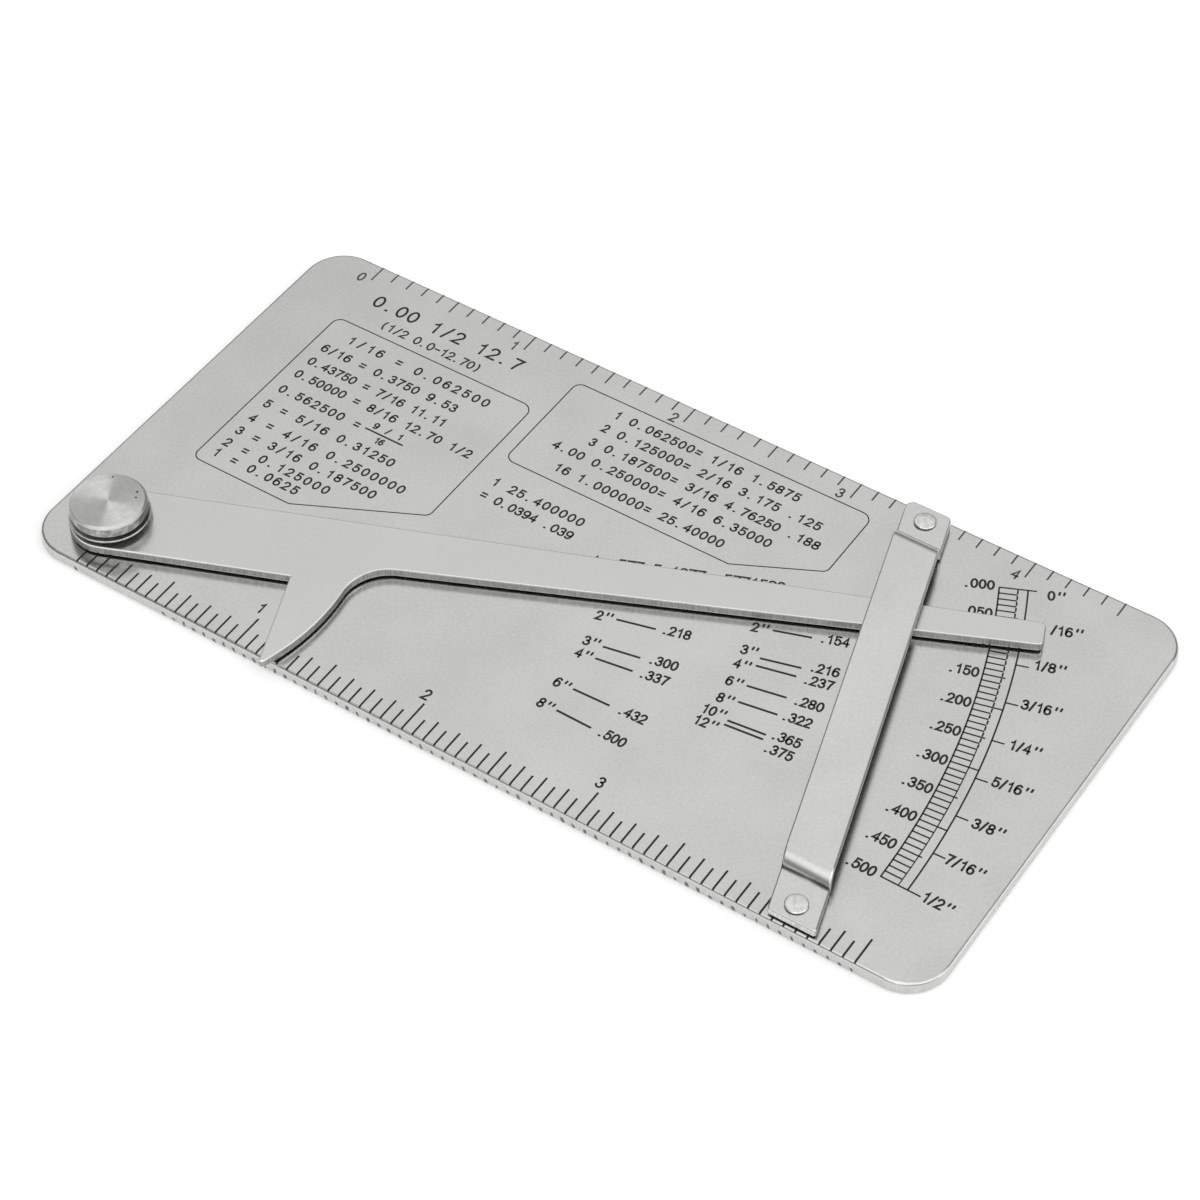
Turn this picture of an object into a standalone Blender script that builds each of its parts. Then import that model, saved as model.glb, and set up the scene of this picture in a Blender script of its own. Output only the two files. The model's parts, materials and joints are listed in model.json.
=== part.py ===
"""Pit depth gauge: a steel plate, a lever with a pointer, and the strap that holds the lever down.

The plate lies on its back in the XY plane. X runs along its length, Y from its near (measuring)
edge to its far edge and Z up through its face. The origin is the middle of the plate's back.
All sizes are in metres.
"""

import math

import bmesh
import bpy
from mathutils import Matrix, Vector

# Plate
PLATE_LENGTH = 0.1325
PLATE_WIDTH = 0.0659
PLATE_THICKNESS = 0.0020
PLATE_CORNER_RADIUS = 0.0056
PLATE_EDGE_ROUND = 0.00050

# Place of the pivot, from the plate's left and near edges
PIVOT_FROM_LEFT = 0.0087
PIVOT_FROM_NEAR = 0.0074

# Lever, in its own frame: the pivot is the origin and X runs along the reading edge
LEVER_THICKNESS = 0.00127
LEVER_HEAD_RADIUS = 0.00535
LEVER_END_MARGIN = 0.00515
LEVER_END_WIDTH = 0.0038
LEVER_END_CORNER_RADIUS = 0.0007
LEVER_ROOT_WIDTH = 0.00730
LEVER_BELOW_STOP = math.radians(4.40)
LEVER_EDGE_ROUND = 0.00024

# Pointer, part of the lever
POINTER_INNER_DISTANCE = 0.02515
POINTER_REACH = 0.01977
POINTER_TIP_WIDTH = 0.00062
POINTER_BOW_RADIUS = 0.0304
POINTER_ROOT_FILLET = 0.0060

# Stud and dished washer at the pivot
STUD_HEAD_RADIUS = 0.00498
STUD_HEAD_HEIGHT = 0.00172
STUD_HEAD_CHAMFER = 0.00030
STUD_SHANK_RADIUS = 0.0020
STUD_TAIL_RADIUS = 0.0029
WASHER_RADIUS = 0.00530
WASHER_THICKNESS = 0.00030
WASHER_DISH = 0.00062

# Strap: the slant is measured from the plate's width
STRAP_WIDTH = 0.00625
STRAP_THICKNESS = 0.0011
STRAP_SLANT = math.radians(16.65)
STRAP_FOOT_INSET = 0.0004
STRAP_FOLD_INSET = 0.00613
STRAP_FOOT_BEND_RADIUS = 0.00025
STRAP_TOP_BEND_RADIUS = 0.00135
STRAP_NEAR_CORNER_RADIUS = 0.0004
STRAP_FAR_CORNER_RADIUS = 0.0011
STRAP_EDGE_ROUND = 0.00024

# Rivets, placed from the plate's right, near and far edges
RIVET_HEAD_RADIUS = 0.00145
RIVET_HEAD_HEIGHT = 0.00035
RIVET_HEAD_CROWN = 0.00012
RIVET_HEAD_EDGE = 0.00012
RIVET_SHANK_RADIUS = 0.0009
RIVET_TAIL_RADIUS = 0.0015
NEAR_RIVET_FROM_RIGHT = 0.0186
NEAR_RIVET_FROM_NEAR = 0.0026
FAR_RIVET_FROM_FAR = 0.0029

# Clearances
SEAT_GAP = 0.0003
HEAD_GAP = 0.0001
HEAD_OVER_WASHER = 0.0003
SHANK_GAP = 0.00008
STRAP_OVER_LEVER = 0.0006
TAIL_RECESS = 0.0001

# Shares and steps of the round forms
COUNTERSINK_SHARE = 0.45
ARC_STEP = math.radians(3.0)
TURNED_STEPS = 96
RIVET_STEPS = 48
CROWN_STEPS = 4
EDGE_SEGMENTS = 2
PLATE_EDGE_SEGMENTS = 3
STRAP_EDGE_SEGMENTS = 3
SHARP_ANGLE = math.radians(35.0)
FLAT_ANGLE = math.radians(0.5)
WELD_DISTANCE = 0.000001
CUTTER_OVERRUN = 0.001

# Levels above the plate's back
PLATE_TOP = PLATE_THICKNESS
LEVER_BOTTOM = PLATE_TOP + SEAT_GAP
LEVER_TOP = LEVER_BOTTOM + LEVER_THICKNESS
WASHER_BOTTOM = LEVER_TOP + HEAD_GAP
STUD_HEAD_BOTTOM = WASHER_BOTTOM + WASHER_DISH + WASHER_THICKNESS + HEAD_OVER_WASHER
FOOT_BOTTOM = PLATE_TOP + SEAT_GAP
FOOT_TOP = FOOT_BOTTOM + STRAP_THICKNESS
STRAP_LIFT = LEVER_THICKNESS + STRAP_OVER_LEVER

# Joggle of the strap: a tight bend up from the foot runs straight into a wide bend to the raised strip
BEND_RADII = STRAP_FOOT_BEND_RADIUS + STRAP_THICKNESS + STRAP_TOP_BEND_RADIUS
BEND_ANGLE = math.acos(1 - STRAP_LIFT / BEND_RADII)
JOGGLE_RUN = BEND_RADII * math.sin(BEND_ANGLE)

# Edges and places in the plate's frame
LEFT_EDGE = -PLATE_LENGTH / 2
RIGHT_EDGE = PLATE_LENGTH / 2
NEAR_EDGE = -PLATE_WIDTH / 2
FAR_EDGE = PLATE_WIDTH / 2
PIVOT = Vector((LEFT_EDGE + PIVOT_FROM_LEFT, NEAR_EDGE + PIVOT_FROM_NEAR, 0.0))
NEAR_RIVET = Vector((RIGHT_EDGE - NEAR_RIVET_FROM_RIGHT, NEAR_EDGE + NEAR_RIVET_FROM_NEAR, 0.0))
RIVET_SPACING_Y = PLATE_WIDTH - NEAR_RIVET_FROM_NEAR - FAR_RIVET_FROM_FAR
FAR_RIVET = NEAR_RIVET + Vector((-RIVET_SPACING_Y * math.tan(STRAP_SLANT), RIVET_SPACING_Y, 0.0))
STRAP_HALF_ACROSS = STRAP_WIDTH / 2 / math.cos(STRAP_SLANT)

# Far stop of the lever: its reading edge meets the far joggle's underside at the right-hand corner
STOP_BELOW_BEND = STRAP_TOP_BEND_RADIUS - STRAP_OVER_LEVER
STOP_IN_BEND = math.sqrt(STRAP_TOP_BEND_RADIUS**2 - STOP_BELOW_BEND**2)
STOP_FROM_FAR = STRAP_FOLD_INSET + JOGGLE_RUN - STOP_IN_BEND
STOP_FROM_RIVET = (STOP_FROM_FAR - FAR_RIVET_FROM_FAR) * math.tan(STRAP_SLANT)
STOP = Vector((FAR_RIVET.x + STOP_FROM_RIVET + STRAP_HALF_ACROSS, FAR_EDGE - STOP_FROM_FAR, 0.0)) - PIVOT
LEVER_STOP_ANGLE = math.atan2(STOP.y, STOP.x) - math.asin(LEVER_HEAD_RADIUS / STOP.length)
LEVER_REST_ANGLE = LEVER_STOP_ANGLE - LEVER_BELOW_STOP
LEVER_LENGTH = PLATE_LENGTH - PIVOT_FROM_LEFT - LEVER_END_MARGIN

SATIN_STEEL = (0.60, 0.60, 0.585)
TURNED_STEEL = (0.66, 0.66, 0.645)
SPRING_STEEL = (0.48, 0.48, 0.47)


def clear_scene():
    """Remove every object of the scene."""
    for scene_object in list(bpy.data.objects):
        bpy.data.objects.remove(scene_object, do_unlink=True)


def make_collection(name):
    """A new collection in the scene."""
    collection = bpy.data.collections.new(name)
    bpy.context.scene.collection.children.link(collection)
    return collection


def metal(name, colour, roughness):
    """A plain metal of one colour."""
    material = bpy.data.materials.new(name)
    material.use_nodes = True
    shader = material.node_tree.nodes["Principled BSDF"]
    shader.inputs["Base Color"].default_value = (*colour, 1.0)
    shader.inputs["Metallic"].default_value = 1.0
    shader.inputs["Roughness"].default_value = roughness
    return material


def arc(centre, radius, start, end):
    """Points on a circle from one angle to the other, both ends included."""
    steps = max(2, math.ceil(abs(end - start) / ARC_STEP))
    turns = [start + (end - start) * step / steps for step in range(steps + 1)]
    return [Vector((centre[0] + radius * math.cos(a), centre[1] + radius * math.sin(a))) for a in turns]


def link_mesh(name, mesh, collection):
    """A new object of the mesh, in the collection."""
    made = bpy.data.objects.new(name, mesh)
    collection.objects.link(made)
    return made


def blank(name, outline, thickness, collection):
    """A flat piece with this outline, from z = 0 up to its thickness, its large faces left whole."""
    curve = bpy.data.curves.new(name, "CURVE")
    curve.dimensions = "2D"
    curve.fill_mode = "BOTH"
    curve.extrude = thickness / 2
    spline = curve.splines.new("POLY")
    spline.points.add(len(outline) - 1)
    for point, corner in zip(spline.points, outline):
        point.co = (corner[0], corner[1], 0.0, 1.0)
    spline.use_cyclic_u = True
    flat = bpy.data.objects.new(name + "_outline", curve)
    collection.objects.link(flat)
    bpy.context.view_layer.update()
    graph = bpy.context.evaluated_depsgraph_get()
    mesh = bpy.data.meshes.new_from_object(flat.evaluated_get(graph))
    bpy.data.objects.remove(flat, do_unlink=True)
    mesh.transform(Matrix.Translation((0.0, 0.0, thickness / 2)))
    solid = bmesh.new()
    solid.from_mesh(mesh)
    bmesh.ops.remove_doubles(solid, verts=solid.verts, dist=WELD_DISTANCE)
    bmesh.ops.dissolve_limit(solid, angle_limit=FLAT_ANGLE, verts=solid.verts, edges=solid.edges)
    bmesh.ops.recalc_face_normals(solid, faces=solid.faces)
    solid.to_mesh(mesh)
    solid.free()
    shade(mesh)
    return link_mesh(name, mesh, collection)


def shade(mesh):
    """Smooth shading that breaks at the corners."""
    mesh.shade_smooth()
    mesh.set_sharp_from_angle(angle=SHARP_ANGLE)


def turned(name, profile, steps, collection, closed=False):
    """A turned piece. The profile holds (radius, height) and runs down its outer side."""
    count = len(profile)
    edges = [(index, index + 1) for index in range(count - 1)]
    if closed:
        edges.append((count - 1, 0))
    line = bpy.data.meshes.new(name + "_profile")
    line.from_pydata([(radius, 0.0, height) for radius, height in profile], edges, [])
    turning = link_mesh(name + "_profile", line, collection)
    screw = turning.modifiers.new("turn", "SCREW")
    screw.axis = "Z"
    screw.steps = steps
    screw.render_steps = steps
    screw.use_merge_vertices = True
    screw.merge_threshold = WELD_DISTANCE
    bpy.context.view_layer.update()
    graph = bpy.context.evaluated_depsgraph_get()
    mesh = bpy.data.meshes.new_from_object(turning.evaluated_get(graph))
    mesh.name = name
    bpy.data.objects.remove(turning, do_unlink=True)
    shade(mesh)
    return link_mesh(name, mesh, collection)


def round_edges(piece, width, segments):
    """A small rounding on every sharp edge."""
    rounding = piece.modifiers.new("edge_round", "BEVEL")
    rounding.width = width
    rounding.segments = segments
    rounding.limit_method = "ANGLE"
    rounding.angle_limit = SHARP_ANGLE


def combine(piece, tool, operation):
    """A Boolean of the piece with a hidden tool."""
    tool.hide_render = True
    tool.display_type = "WIRE"
    step = piece.modifiers.new(tool.name, "BOOLEAN")
    step.operation = operation
    step.object = tool


def drill(name, radius, depth_from, depth_to, place, cutters, piece, steps):
    """A round hole through the piece between two levels of the piece's own frame."""
    profile = [(0.0, depth_to), (radius, depth_to), (radius, depth_from), (0.0, depth_from)]
    tool = turned(name, profile, steps, cutters)
    tool.location = place
    combine(piece, tool, "DIFFERENCE")


def countersunk_hole(name, shank_radius, tail_radius, place, cutters, piece, steps):
    """A hole through the plate that widens to a countersink at the back."""
    radius = shank_radius + SHANK_GAP
    mouth = tail_radius + HEAD_GAP
    depth = PLATE_THICKNESS * COUNTERSINK_SHARE
    slope = (mouth - radius) / depth
    profile = [
        (0.0, PLATE_TOP + CUTTER_OVERRUN),
        (radius, PLATE_TOP + CUTTER_OVERRUN),
        (radius, depth),
        (mouth + slope * CUTTER_OVERRUN, -CUTTER_OVERRUN),
        (0.0, -CUTTER_OVERRUN),
    ]
    tool = turned(name, profile, steps, cutters)
    tool.location = place
    combine(piece, tool, "DIFFERENCE")


def spread_tail(shank_radius, tail_radius):
    """The (radius, height) points of a shank's tail, spread into the plate's countersink."""
    depth = PLATE_THICKNESS * COUNTERSINK_SHARE
    slope = (tail_radius - shank_radius) / depth
    return [
        (shank_radius, depth),
        (tail_radius - slope * TAIL_RECESS, TAIL_RECESS),
        (0.0, TAIL_RECESS),
    ]


def plate_outline():
    """A rectangle with four round corners, about the origin."""
    reach_x = PLATE_LENGTH / 2 - PLATE_CORNER_RADIUS
    reach_y = PLATE_WIDTH / 2 - PLATE_CORNER_RADIUS
    corners = [(reach_x, reach_y), (-reach_x, reach_y), (-reach_x, -reach_y), (reach_x, -reach_y)]
    outline = []
    for quarter, centre in enumerate(corners):
        start = quarter * math.pi / 2
        outline += arc(centre, PLATE_CORNER_RADIUS, start, start + math.pi / 2)
    return outline


def lever_outline():
    """The lever's outline, counter-clockwise from its head.

    The arm's lower edge rises from the pointer's root to the end. The pointer's outer side is a bow
    whose centre lies on the lever's axis, joined to the lower edge by a fillet that touches both.
    """
    top = LEVER_HEAD_RADIUS
    end_low = top - LEVER_END_WIDTH
    bow_corner = Vector((POINTER_INNER_DISTANCE + POINTER_TIP_WIDTH, -POINTER_REACH))
    bow_centre = Vector((bow_corner.x - math.sqrt(POINTER_BOW_RADIUS**2 - POINTER_REACH**2), 0.0))
    root = Vector((bow_centre.x + POINTER_BOW_RADIUS, top - LEVER_ROOT_WIDTH))
    rise = math.atan2(end_low - root.y, LEVER_LENGTH - root.x)
    along = Vector((math.cos(rise), math.sin(rise)))
    below = Vector((math.sin(rise), -math.cos(rise)))

    # The fillet's centre lies its radius below the lower edge and its radius outside the bow.
    start = root + below * POINTER_ROOT_FILLET - bow_centre
    reach = POINTER_BOW_RADIUS + POINTER_ROOT_FILLET
    half = start.dot(along)
    travel = -half + math.sqrt(half**2 - start.length_squared + reach**2)
    fillet_centre = bow_centre + start + along * travel
    to_fillet = fillet_centre - bow_centre
    bow_end = math.atan2(to_fillet.y, to_fillet.x)
    bow_start = math.atan2(bow_corner.y - bow_centre.y, bow_corner.x - bow_centre.x)

    corner = LEVER_END_CORNER_RADIUS
    low_corner = Vector((LEVER_LENGTH - corner, end_low + corner))
    high_corner = Vector((LEVER_LENGTH - corner, top - corner))
    outline = arc((0.0, 0.0), LEVER_HEAD_RADIUS, math.pi / 2, math.pi * 3 / 2)
    outline.append(Vector((POINTER_INNER_DISTANCE, -LEVER_HEAD_RADIUS)))
    outline.append(Vector((POINTER_INNER_DISTANCE, -POINTER_REACH)))
    outline += arc(bow_centre, POINTER_BOW_RADIUS, bow_start, bow_end)
    outline += arc(fillet_centre, POINTER_ROOT_FILLET, bow_end + math.pi, math.pi / 2 + rise)[1:]
    outline += arc(low_corner, corner, rise - math.pi / 2, 0.0)
    outline += arc(high_corner, corner, 0.0, math.pi / 2)
    return outline


def strap_side():
    """The strap's side outline as (Y, Z), Y from the plate's near edge and Z from the foot's underside.

    The lower bend of each joggle turns about a centre above the foot, its upper bend about a centre
    below the raised strip.
    """
    tight = STRAP_FOOT_BEND_RADIUS
    wide = STRAP_TOP_BEND_RADIUS
    angle = BEND_ANGLE
    low_centre = (STRAP_FOLD_INSET, STRAP_THICKNESS + tight)
    high_centre = (STRAP_FOLD_INSET + JOGGLE_RUN, STRAP_LIFT - wide)

    over = [Vector((STRAP_FOOT_INSET, STRAP_THICKNESS))]
    over += arc(low_centre, tight, -math.pi / 2, angle - math.pi / 2)
    over += arc(high_centre, wide + STRAP_THICKNESS, angle + math.pi / 2, math.pi / 2)[1:]
    under = arc(high_centre, wide, math.pi / 2, angle + math.pi / 2)
    under += arc(low_centre, tight + STRAP_THICKNESS, angle - math.pi / 2, -math.pi / 2)[1:]
    under.append(Vector((STRAP_FOOT_INSET, 0.0)))

    far_over = [Vector((PLATE_WIDTH - point.x, point.y)) for point in reversed(over)]
    far_under = [Vector((PLATE_WIDTH - point.x, point.y)) for point in reversed(under)]
    return over + far_over + far_under + under


def strap_plan():
    """The strap's outline from above: a slanting strip whose ends follow the plate's edges."""
    half = STRAP_HALF_ACROSS
    slant = math.tan(STRAP_SLANT)
    near = STRAP_FOOT_INSET
    far = PLATE_WIDTH - STRAP_FOOT_INSET
    corners = [
        Vector((half - slant * far, far)),
        Vector((-half - slant * far, far)),
        Vector((-half - slant * near, near)),
        Vector((half - slant * near, near)),
    ]
    radii = [STRAP_FAR_CORNER_RADIUS] * 2 + [STRAP_NEAR_CORNER_RADIUS] * 2
    outline = []
    for index, (corner, radius) in enumerate(zip(corners, radii)):
        outline += round_corner(corners[index - 1], corner, corners[(index + 1) % 4], radius)
    return outline


def round_corner(before, corner, after, radius):
    """The arc that replaces a corner of an outline that runs counter-clockwise."""
    back = (before - corner).normalized()
    ahead = (after - corner).normalized()
    half = back.angle(ahead) / 2
    centre = corner + (back + ahead).normalized() * (radius / math.sin(half))
    first = corner + back * (radius / math.tan(half)) - centre
    last = corner + ahead * (radius / math.tan(half)) - centre
    start = math.atan2(first.y, first.x)
    turn = (math.atan2(last.y, last.x) - start) % (2 * math.pi)
    return arc(centre, radius, start, start + turn)


def make_plate(parts, cutters):
    """The base plate, with its three countersunk holes."""
    plate = blank("base_plate", plate_outline(), PLATE_THICKNESS, parts)
    round_edges(plate, PLATE_EDGE_ROUND, PLATE_EDGE_SEGMENTS)
    countersunk_hole("pivot_hole", STUD_SHANK_RADIUS, STUD_TAIL_RADIUS, PIVOT, cutters, plate, TURNED_STEPS)
    for name, place in (("near_rivet_hole", NEAR_RIVET), ("far_rivet_hole", FAR_RIVET)):
        countersunk_hole(name, RIVET_SHANK_RADIUS, RIVET_TAIL_RADIUS, place, cutters, plate, RIVET_STEPS)
    return plate


def make_lever(parts, cutters):
    """The lever with its pointer, hung on an empty at the pivot."""
    pivot = bpy.data.objects.new("lever_pivot", None)
    pivot.location = PIVOT + Vector((0.0, 0.0, LEVER_BOTTOM))
    pivot.rotation_euler = (0.0, 0.0, LEVER_REST_ANGLE)
    parts.objects.link(pivot)
    lever = blank("depth_lever", lever_outline(), LEVER_THICKNESS, parts)
    lever.parent = pivot
    round_edges(lever, LEVER_EDGE_ROUND, EDGE_SEGMENTS)
    drill(
        "lever_hole",
        STUD_SHANK_RADIUS + SHANK_GAP,
        LEVER_BOTTOM - CUTTER_OVERRUN,
        LEVER_TOP + CUTTER_OVERRUN,
        PIVOT,
        cutters,
        lever,
        TURNED_STEPS,
    )
    return lever


def make_stud(parts):
    """The pivot stud: a chamfered head, a shank and a tail spread into the plate."""
    top = STUD_HEAD_BOTTOM + STUD_HEAD_HEIGHT
    under = STUD_HEAD_CHAMFER / 2
    profile = [
        (0.0, top),
        (STUD_HEAD_RADIUS - STUD_HEAD_CHAMFER, top),
        (STUD_HEAD_RADIUS, top - STUD_HEAD_CHAMFER),
        (STUD_HEAD_RADIUS, STUD_HEAD_BOTTOM + under),
        (STUD_HEAD_RADIUS - under, STUD_HEAD_BOTTOM),
        (STUD_SHANK_RADIUS, STUD_HEAD_BOTTOM),
    ]
    profile += spread_tail(STUD_SHANK_RADIUS, STUD_TAIL_RADIUS)
    stud = turned("pivot_stud", profile, TURNED_STEPS, parts)
    stud.location = PIVOT
    return stud


def make_washer(parts):
    """The dished washer: its inner rim bears on the lever, its outer rim on the stud's head."""
    hole = STUD_SHANK_RADIUS + HEAD_GAP
    profile = [
        (hole, WASHER_THICKNESS),
        (WASHER_RADIUS, WASHER_DISH + WASHER_THICKNESS),
        (WASHER_RADIUS, WASHER_DISH),
        (hole, 0.0),
    ]
    washer = turned("spring_washer", profile, TURNED_STEPS, parts, closed=True)
    washer.location = PIVOT + Vector((0.0, 0.0, WASHER_BOTTOM))
    return washer


def make_strap(parts, cutters):
    """The guide strap: its side outline carried across, cut to its slanting plan, then rounded."""
    left_reach = PLATE_WIDTH * math.tan(STRAP_SLANT) + STRAP_WIDTH
    right_reach = STRAP_WIDTH
    strap = blank("guide_strap", strap_side(), left_reach + right_reach, parts)
    stand_up = Matrix(((0, 0, 1, 0), (1, 0, 0, 0), (0, 1, 0, 0), (0, 0, 0, 1)))
    strap.data.transform(Matrix.Translation((-left_reach, 0.0, 0.0)) @ stand_up)
    foot_x = NEAR_RIVET.x + NEAR_RIVET_FROM_NEAR * math.tan(STRAP_SLANT)
    strap.location = (foot_x, NEAR_EDGE, FOOT_BOTTOM)
    height = STRAP_LIFT + STRAP_THICKNESS + 2 * CUTTER_OVERRUN
    plan = blank("strap_plan", strap_plan(), height, cutters)
    plan.location = (foot_x, NEAR_EDGE, FOOT_BOTTOM - CUTTER_OVERRUN)
    combine(strap, plan, "INTERSECT")
    round_edges(strap, STRAP_EDGE_ROUND, STRAP_EDGE_SEGMENTS)
    for name, place in (("near_foot_hole", NEAR_RIVET), ("far_foot_hole", FAR_RIVET)):
        drill(
            name,
            RIVET_SHANK_RADIUS + SHANK_GAP,
            FOOT_BOTTOM - CUTTER_OVERRUN,
            FOOT_TOP + CUTTER_OVERRUN,
            place,
            cutters,
            strap,
            RIVET_STEPS,
        )
    return strap


def make_rivet(name, place, parts):
    """A rivet: a low crowned head on the strap's foot, a shank and a tail spread into the plate."""
    seat = FOOT_TOP + HEAD_GAP
    edge_height = seat + RIVET_HEAD_HEIGHT - RIVET_HEAD_CROWN
    crown_radius = (RIVET_HEAD_RADIUS**2 + RIVET_HEAD_CROWN**2) / (2 * RIVET_HEAD_CROWN)
    crown_centre = seat + RIVET_HEAD_HEIGHT - crown_radius
    flat_radius = RIVET_HEAD_RADIUS - RIVET_HEAD_EDGE
    crown = []
    for step in range(CROWN_STEPS + 1):
        radius = flat_radius * step / CROWN_STEPS
        crown.append((radius, crown_centre + math.sqrt(crown_radius**2 - radius**2)))
    profile = crown + [
        (RIVET_HEAD_RADIUS, edge_height - RIVET_HEAD_EDGE / 2),
        (RIVET_HEAD_RADIUS, seat),
        (RIVET_SHANK_RADIUS, seat),
    ]
    profile += spread_tail(RIVET_SHANK_RADIUS, RIVET_TAIL_RADIUS)
    rivet = turned(name, profile, RIVET_STEPS, parts)
    rivet.location = place
    return rivet


def main():
    """Build every piece and give it its metal."""
    clear_scene()
    parts = make_collection("pit_depth_gauge")
    cutters = make_collection("cutters")
    pieces = {
        make_plate(parts, cutters): metal("plate_steel", SATIN_STEEL, 0.38),
        make_lever(parts, cutters): metal("lever_steel", SATIN_STEEL, 0.36),
        make_stud(parts): metal("stud_steel", TURNED_STEEL, 0.28),
        make_washer(parts): metal("washer_steel", SPRING_STEEL, 0.35),
        make_strap(parts, cutters): metal("strap_steel", SATIN_STEEL, 0.36),
        make_rivet("near_rivet", NEAR_RIVET, parts): metal("near_rivet_steel", TURNED_STEEL, 0.30),
        make_rivet("far_rivet", FAR_RIVET, parts): metal("far_rivet_steel", TURNED_STEEL, 0.30),
    }
    for piece, finish in pieces.items():
        piece.data.materials.clear()
        piece.data.materials.append(finish)


main()
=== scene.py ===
"""Dress of the pit depth gauge: satin and turned steel, dark graduations and figures, studio and camera.

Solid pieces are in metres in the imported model's frame. The marks on the plate are drawn as on a
drawing board: in millimetres, x from the near ruler's zero line and y from the plate's near edge.
"""

from __future__ import annotations

import json
import logging
import math
from dataclasses import dataclass, field
from enum import Enum
from typing import Any, Callable, Iterable, Sequence

import bpy
import numpy as np
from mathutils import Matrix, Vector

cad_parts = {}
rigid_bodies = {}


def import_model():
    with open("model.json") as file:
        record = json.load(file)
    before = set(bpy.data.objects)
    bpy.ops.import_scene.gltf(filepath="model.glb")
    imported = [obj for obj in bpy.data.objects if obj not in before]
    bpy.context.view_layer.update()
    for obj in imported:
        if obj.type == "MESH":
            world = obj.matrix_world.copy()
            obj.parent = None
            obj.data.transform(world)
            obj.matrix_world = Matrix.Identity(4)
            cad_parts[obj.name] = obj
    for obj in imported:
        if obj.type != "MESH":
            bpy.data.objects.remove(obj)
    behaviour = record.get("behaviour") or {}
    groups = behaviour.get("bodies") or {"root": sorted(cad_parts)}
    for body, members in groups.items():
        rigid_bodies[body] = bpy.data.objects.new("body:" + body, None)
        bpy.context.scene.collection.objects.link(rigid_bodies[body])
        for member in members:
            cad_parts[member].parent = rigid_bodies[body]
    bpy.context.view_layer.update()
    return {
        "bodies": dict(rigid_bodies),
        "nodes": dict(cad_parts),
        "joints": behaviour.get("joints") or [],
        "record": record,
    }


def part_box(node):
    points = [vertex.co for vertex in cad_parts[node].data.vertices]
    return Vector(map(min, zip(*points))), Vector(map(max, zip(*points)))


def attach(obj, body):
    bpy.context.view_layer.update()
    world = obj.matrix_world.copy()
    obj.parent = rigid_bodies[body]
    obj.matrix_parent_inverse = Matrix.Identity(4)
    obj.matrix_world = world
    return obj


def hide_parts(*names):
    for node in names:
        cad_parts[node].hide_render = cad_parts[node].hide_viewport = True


LOG = logging.getLogger("gauge")
MM = 0.001
ARC_STEP = math.radians(12.0)

Point = tuple[float, float]
Colour = tuple[float, float, float]
Zone = tuple[float, float, float, float]


class Body(Enum):
    """The two moving groups of the gauge."""

    PLATE = "gauge_plate"
    LEVER = "lever"


class Slot(Enum):
    """The finishes that the record names."""

    PLATE = "plate"
    LEVER = "lever"
    STUD = "stud"
    WASHER = "washer"
    STRAP = "strap"
    RIVET = "rivet"
    INK = "ink"


class Align(Enum):
    """Where a line of figures stands on its anchor."""

    LEFT = 0.0
    MIDDLE = 0.5
    RIGHT = 1.0


# Shader building


def maths_method(operation: str, swapped: bool = False) -> Callable[[Signal, Any], Signal]:
    """Make the method behind one of Signal's operators.

    Args:
        operation: The Math node's operation.
        swapped: Whether it is a reflected form, with the other value first.

    Returns:
        The method.
    """

    def method(self: Signal, other: Any) -> Signal:
        """The operation on this and the other."""
        return self.bench.maths(operation, *((other, self) if swapped else (self, other)))

    return method


class Signal:
    """A socket of a node tree. Python's operators on it add Math nodes."""

    __add__, __radd__ = maths_method("ADD"), maths_method("ADD", swapped=True)
    __sub__, __rsub__ = maths_method("SUBTRACT"), maths_method("SUBTRACT", swapped=True)
    __mul__, __rmul__ = maths_method("MULTIPLY"), maths_method("MULTIPLY", swapped=True)
    __truediv__, __rtruediv__ = maths_method("DIVIDE"), maths_method("DIVIDE", swapped=True)
    __pow__, __rpow__ = maths_method("POWER"), maths_method("POWER", swapped=True)

    def __init__(self, bench: NodeBench, socket: bpy.types.NodeSocket) -> None:
        """Keep the socket and the bench that its tree is built on."""
        self.bench = bench
        self.socket = socket

    def __abs__(self) -> Signal:
        """The size of this."""
        return self.bench.maths("ABSOLUTE", self)

    def ramp(self, start: float, end: float) -> Signal:
        """0 at the start value, 1 at the end value, smooth between and held outside.

        Args:
            start: The value of this at which the result is 0.
            end: The value of this at which the result is 1.

        Returns:
            The eased share.
        """
        ease = {"interpolation_type": "SMOOTHSTEP", "clamp": True}
        node = self.bench.node("ShaderNodeMapRange", ease, {0: self, 1: start, 2: end, 3: 0.0, 4: 1.0})
        return Signal(self.bench, node.outputs[0])


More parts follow.
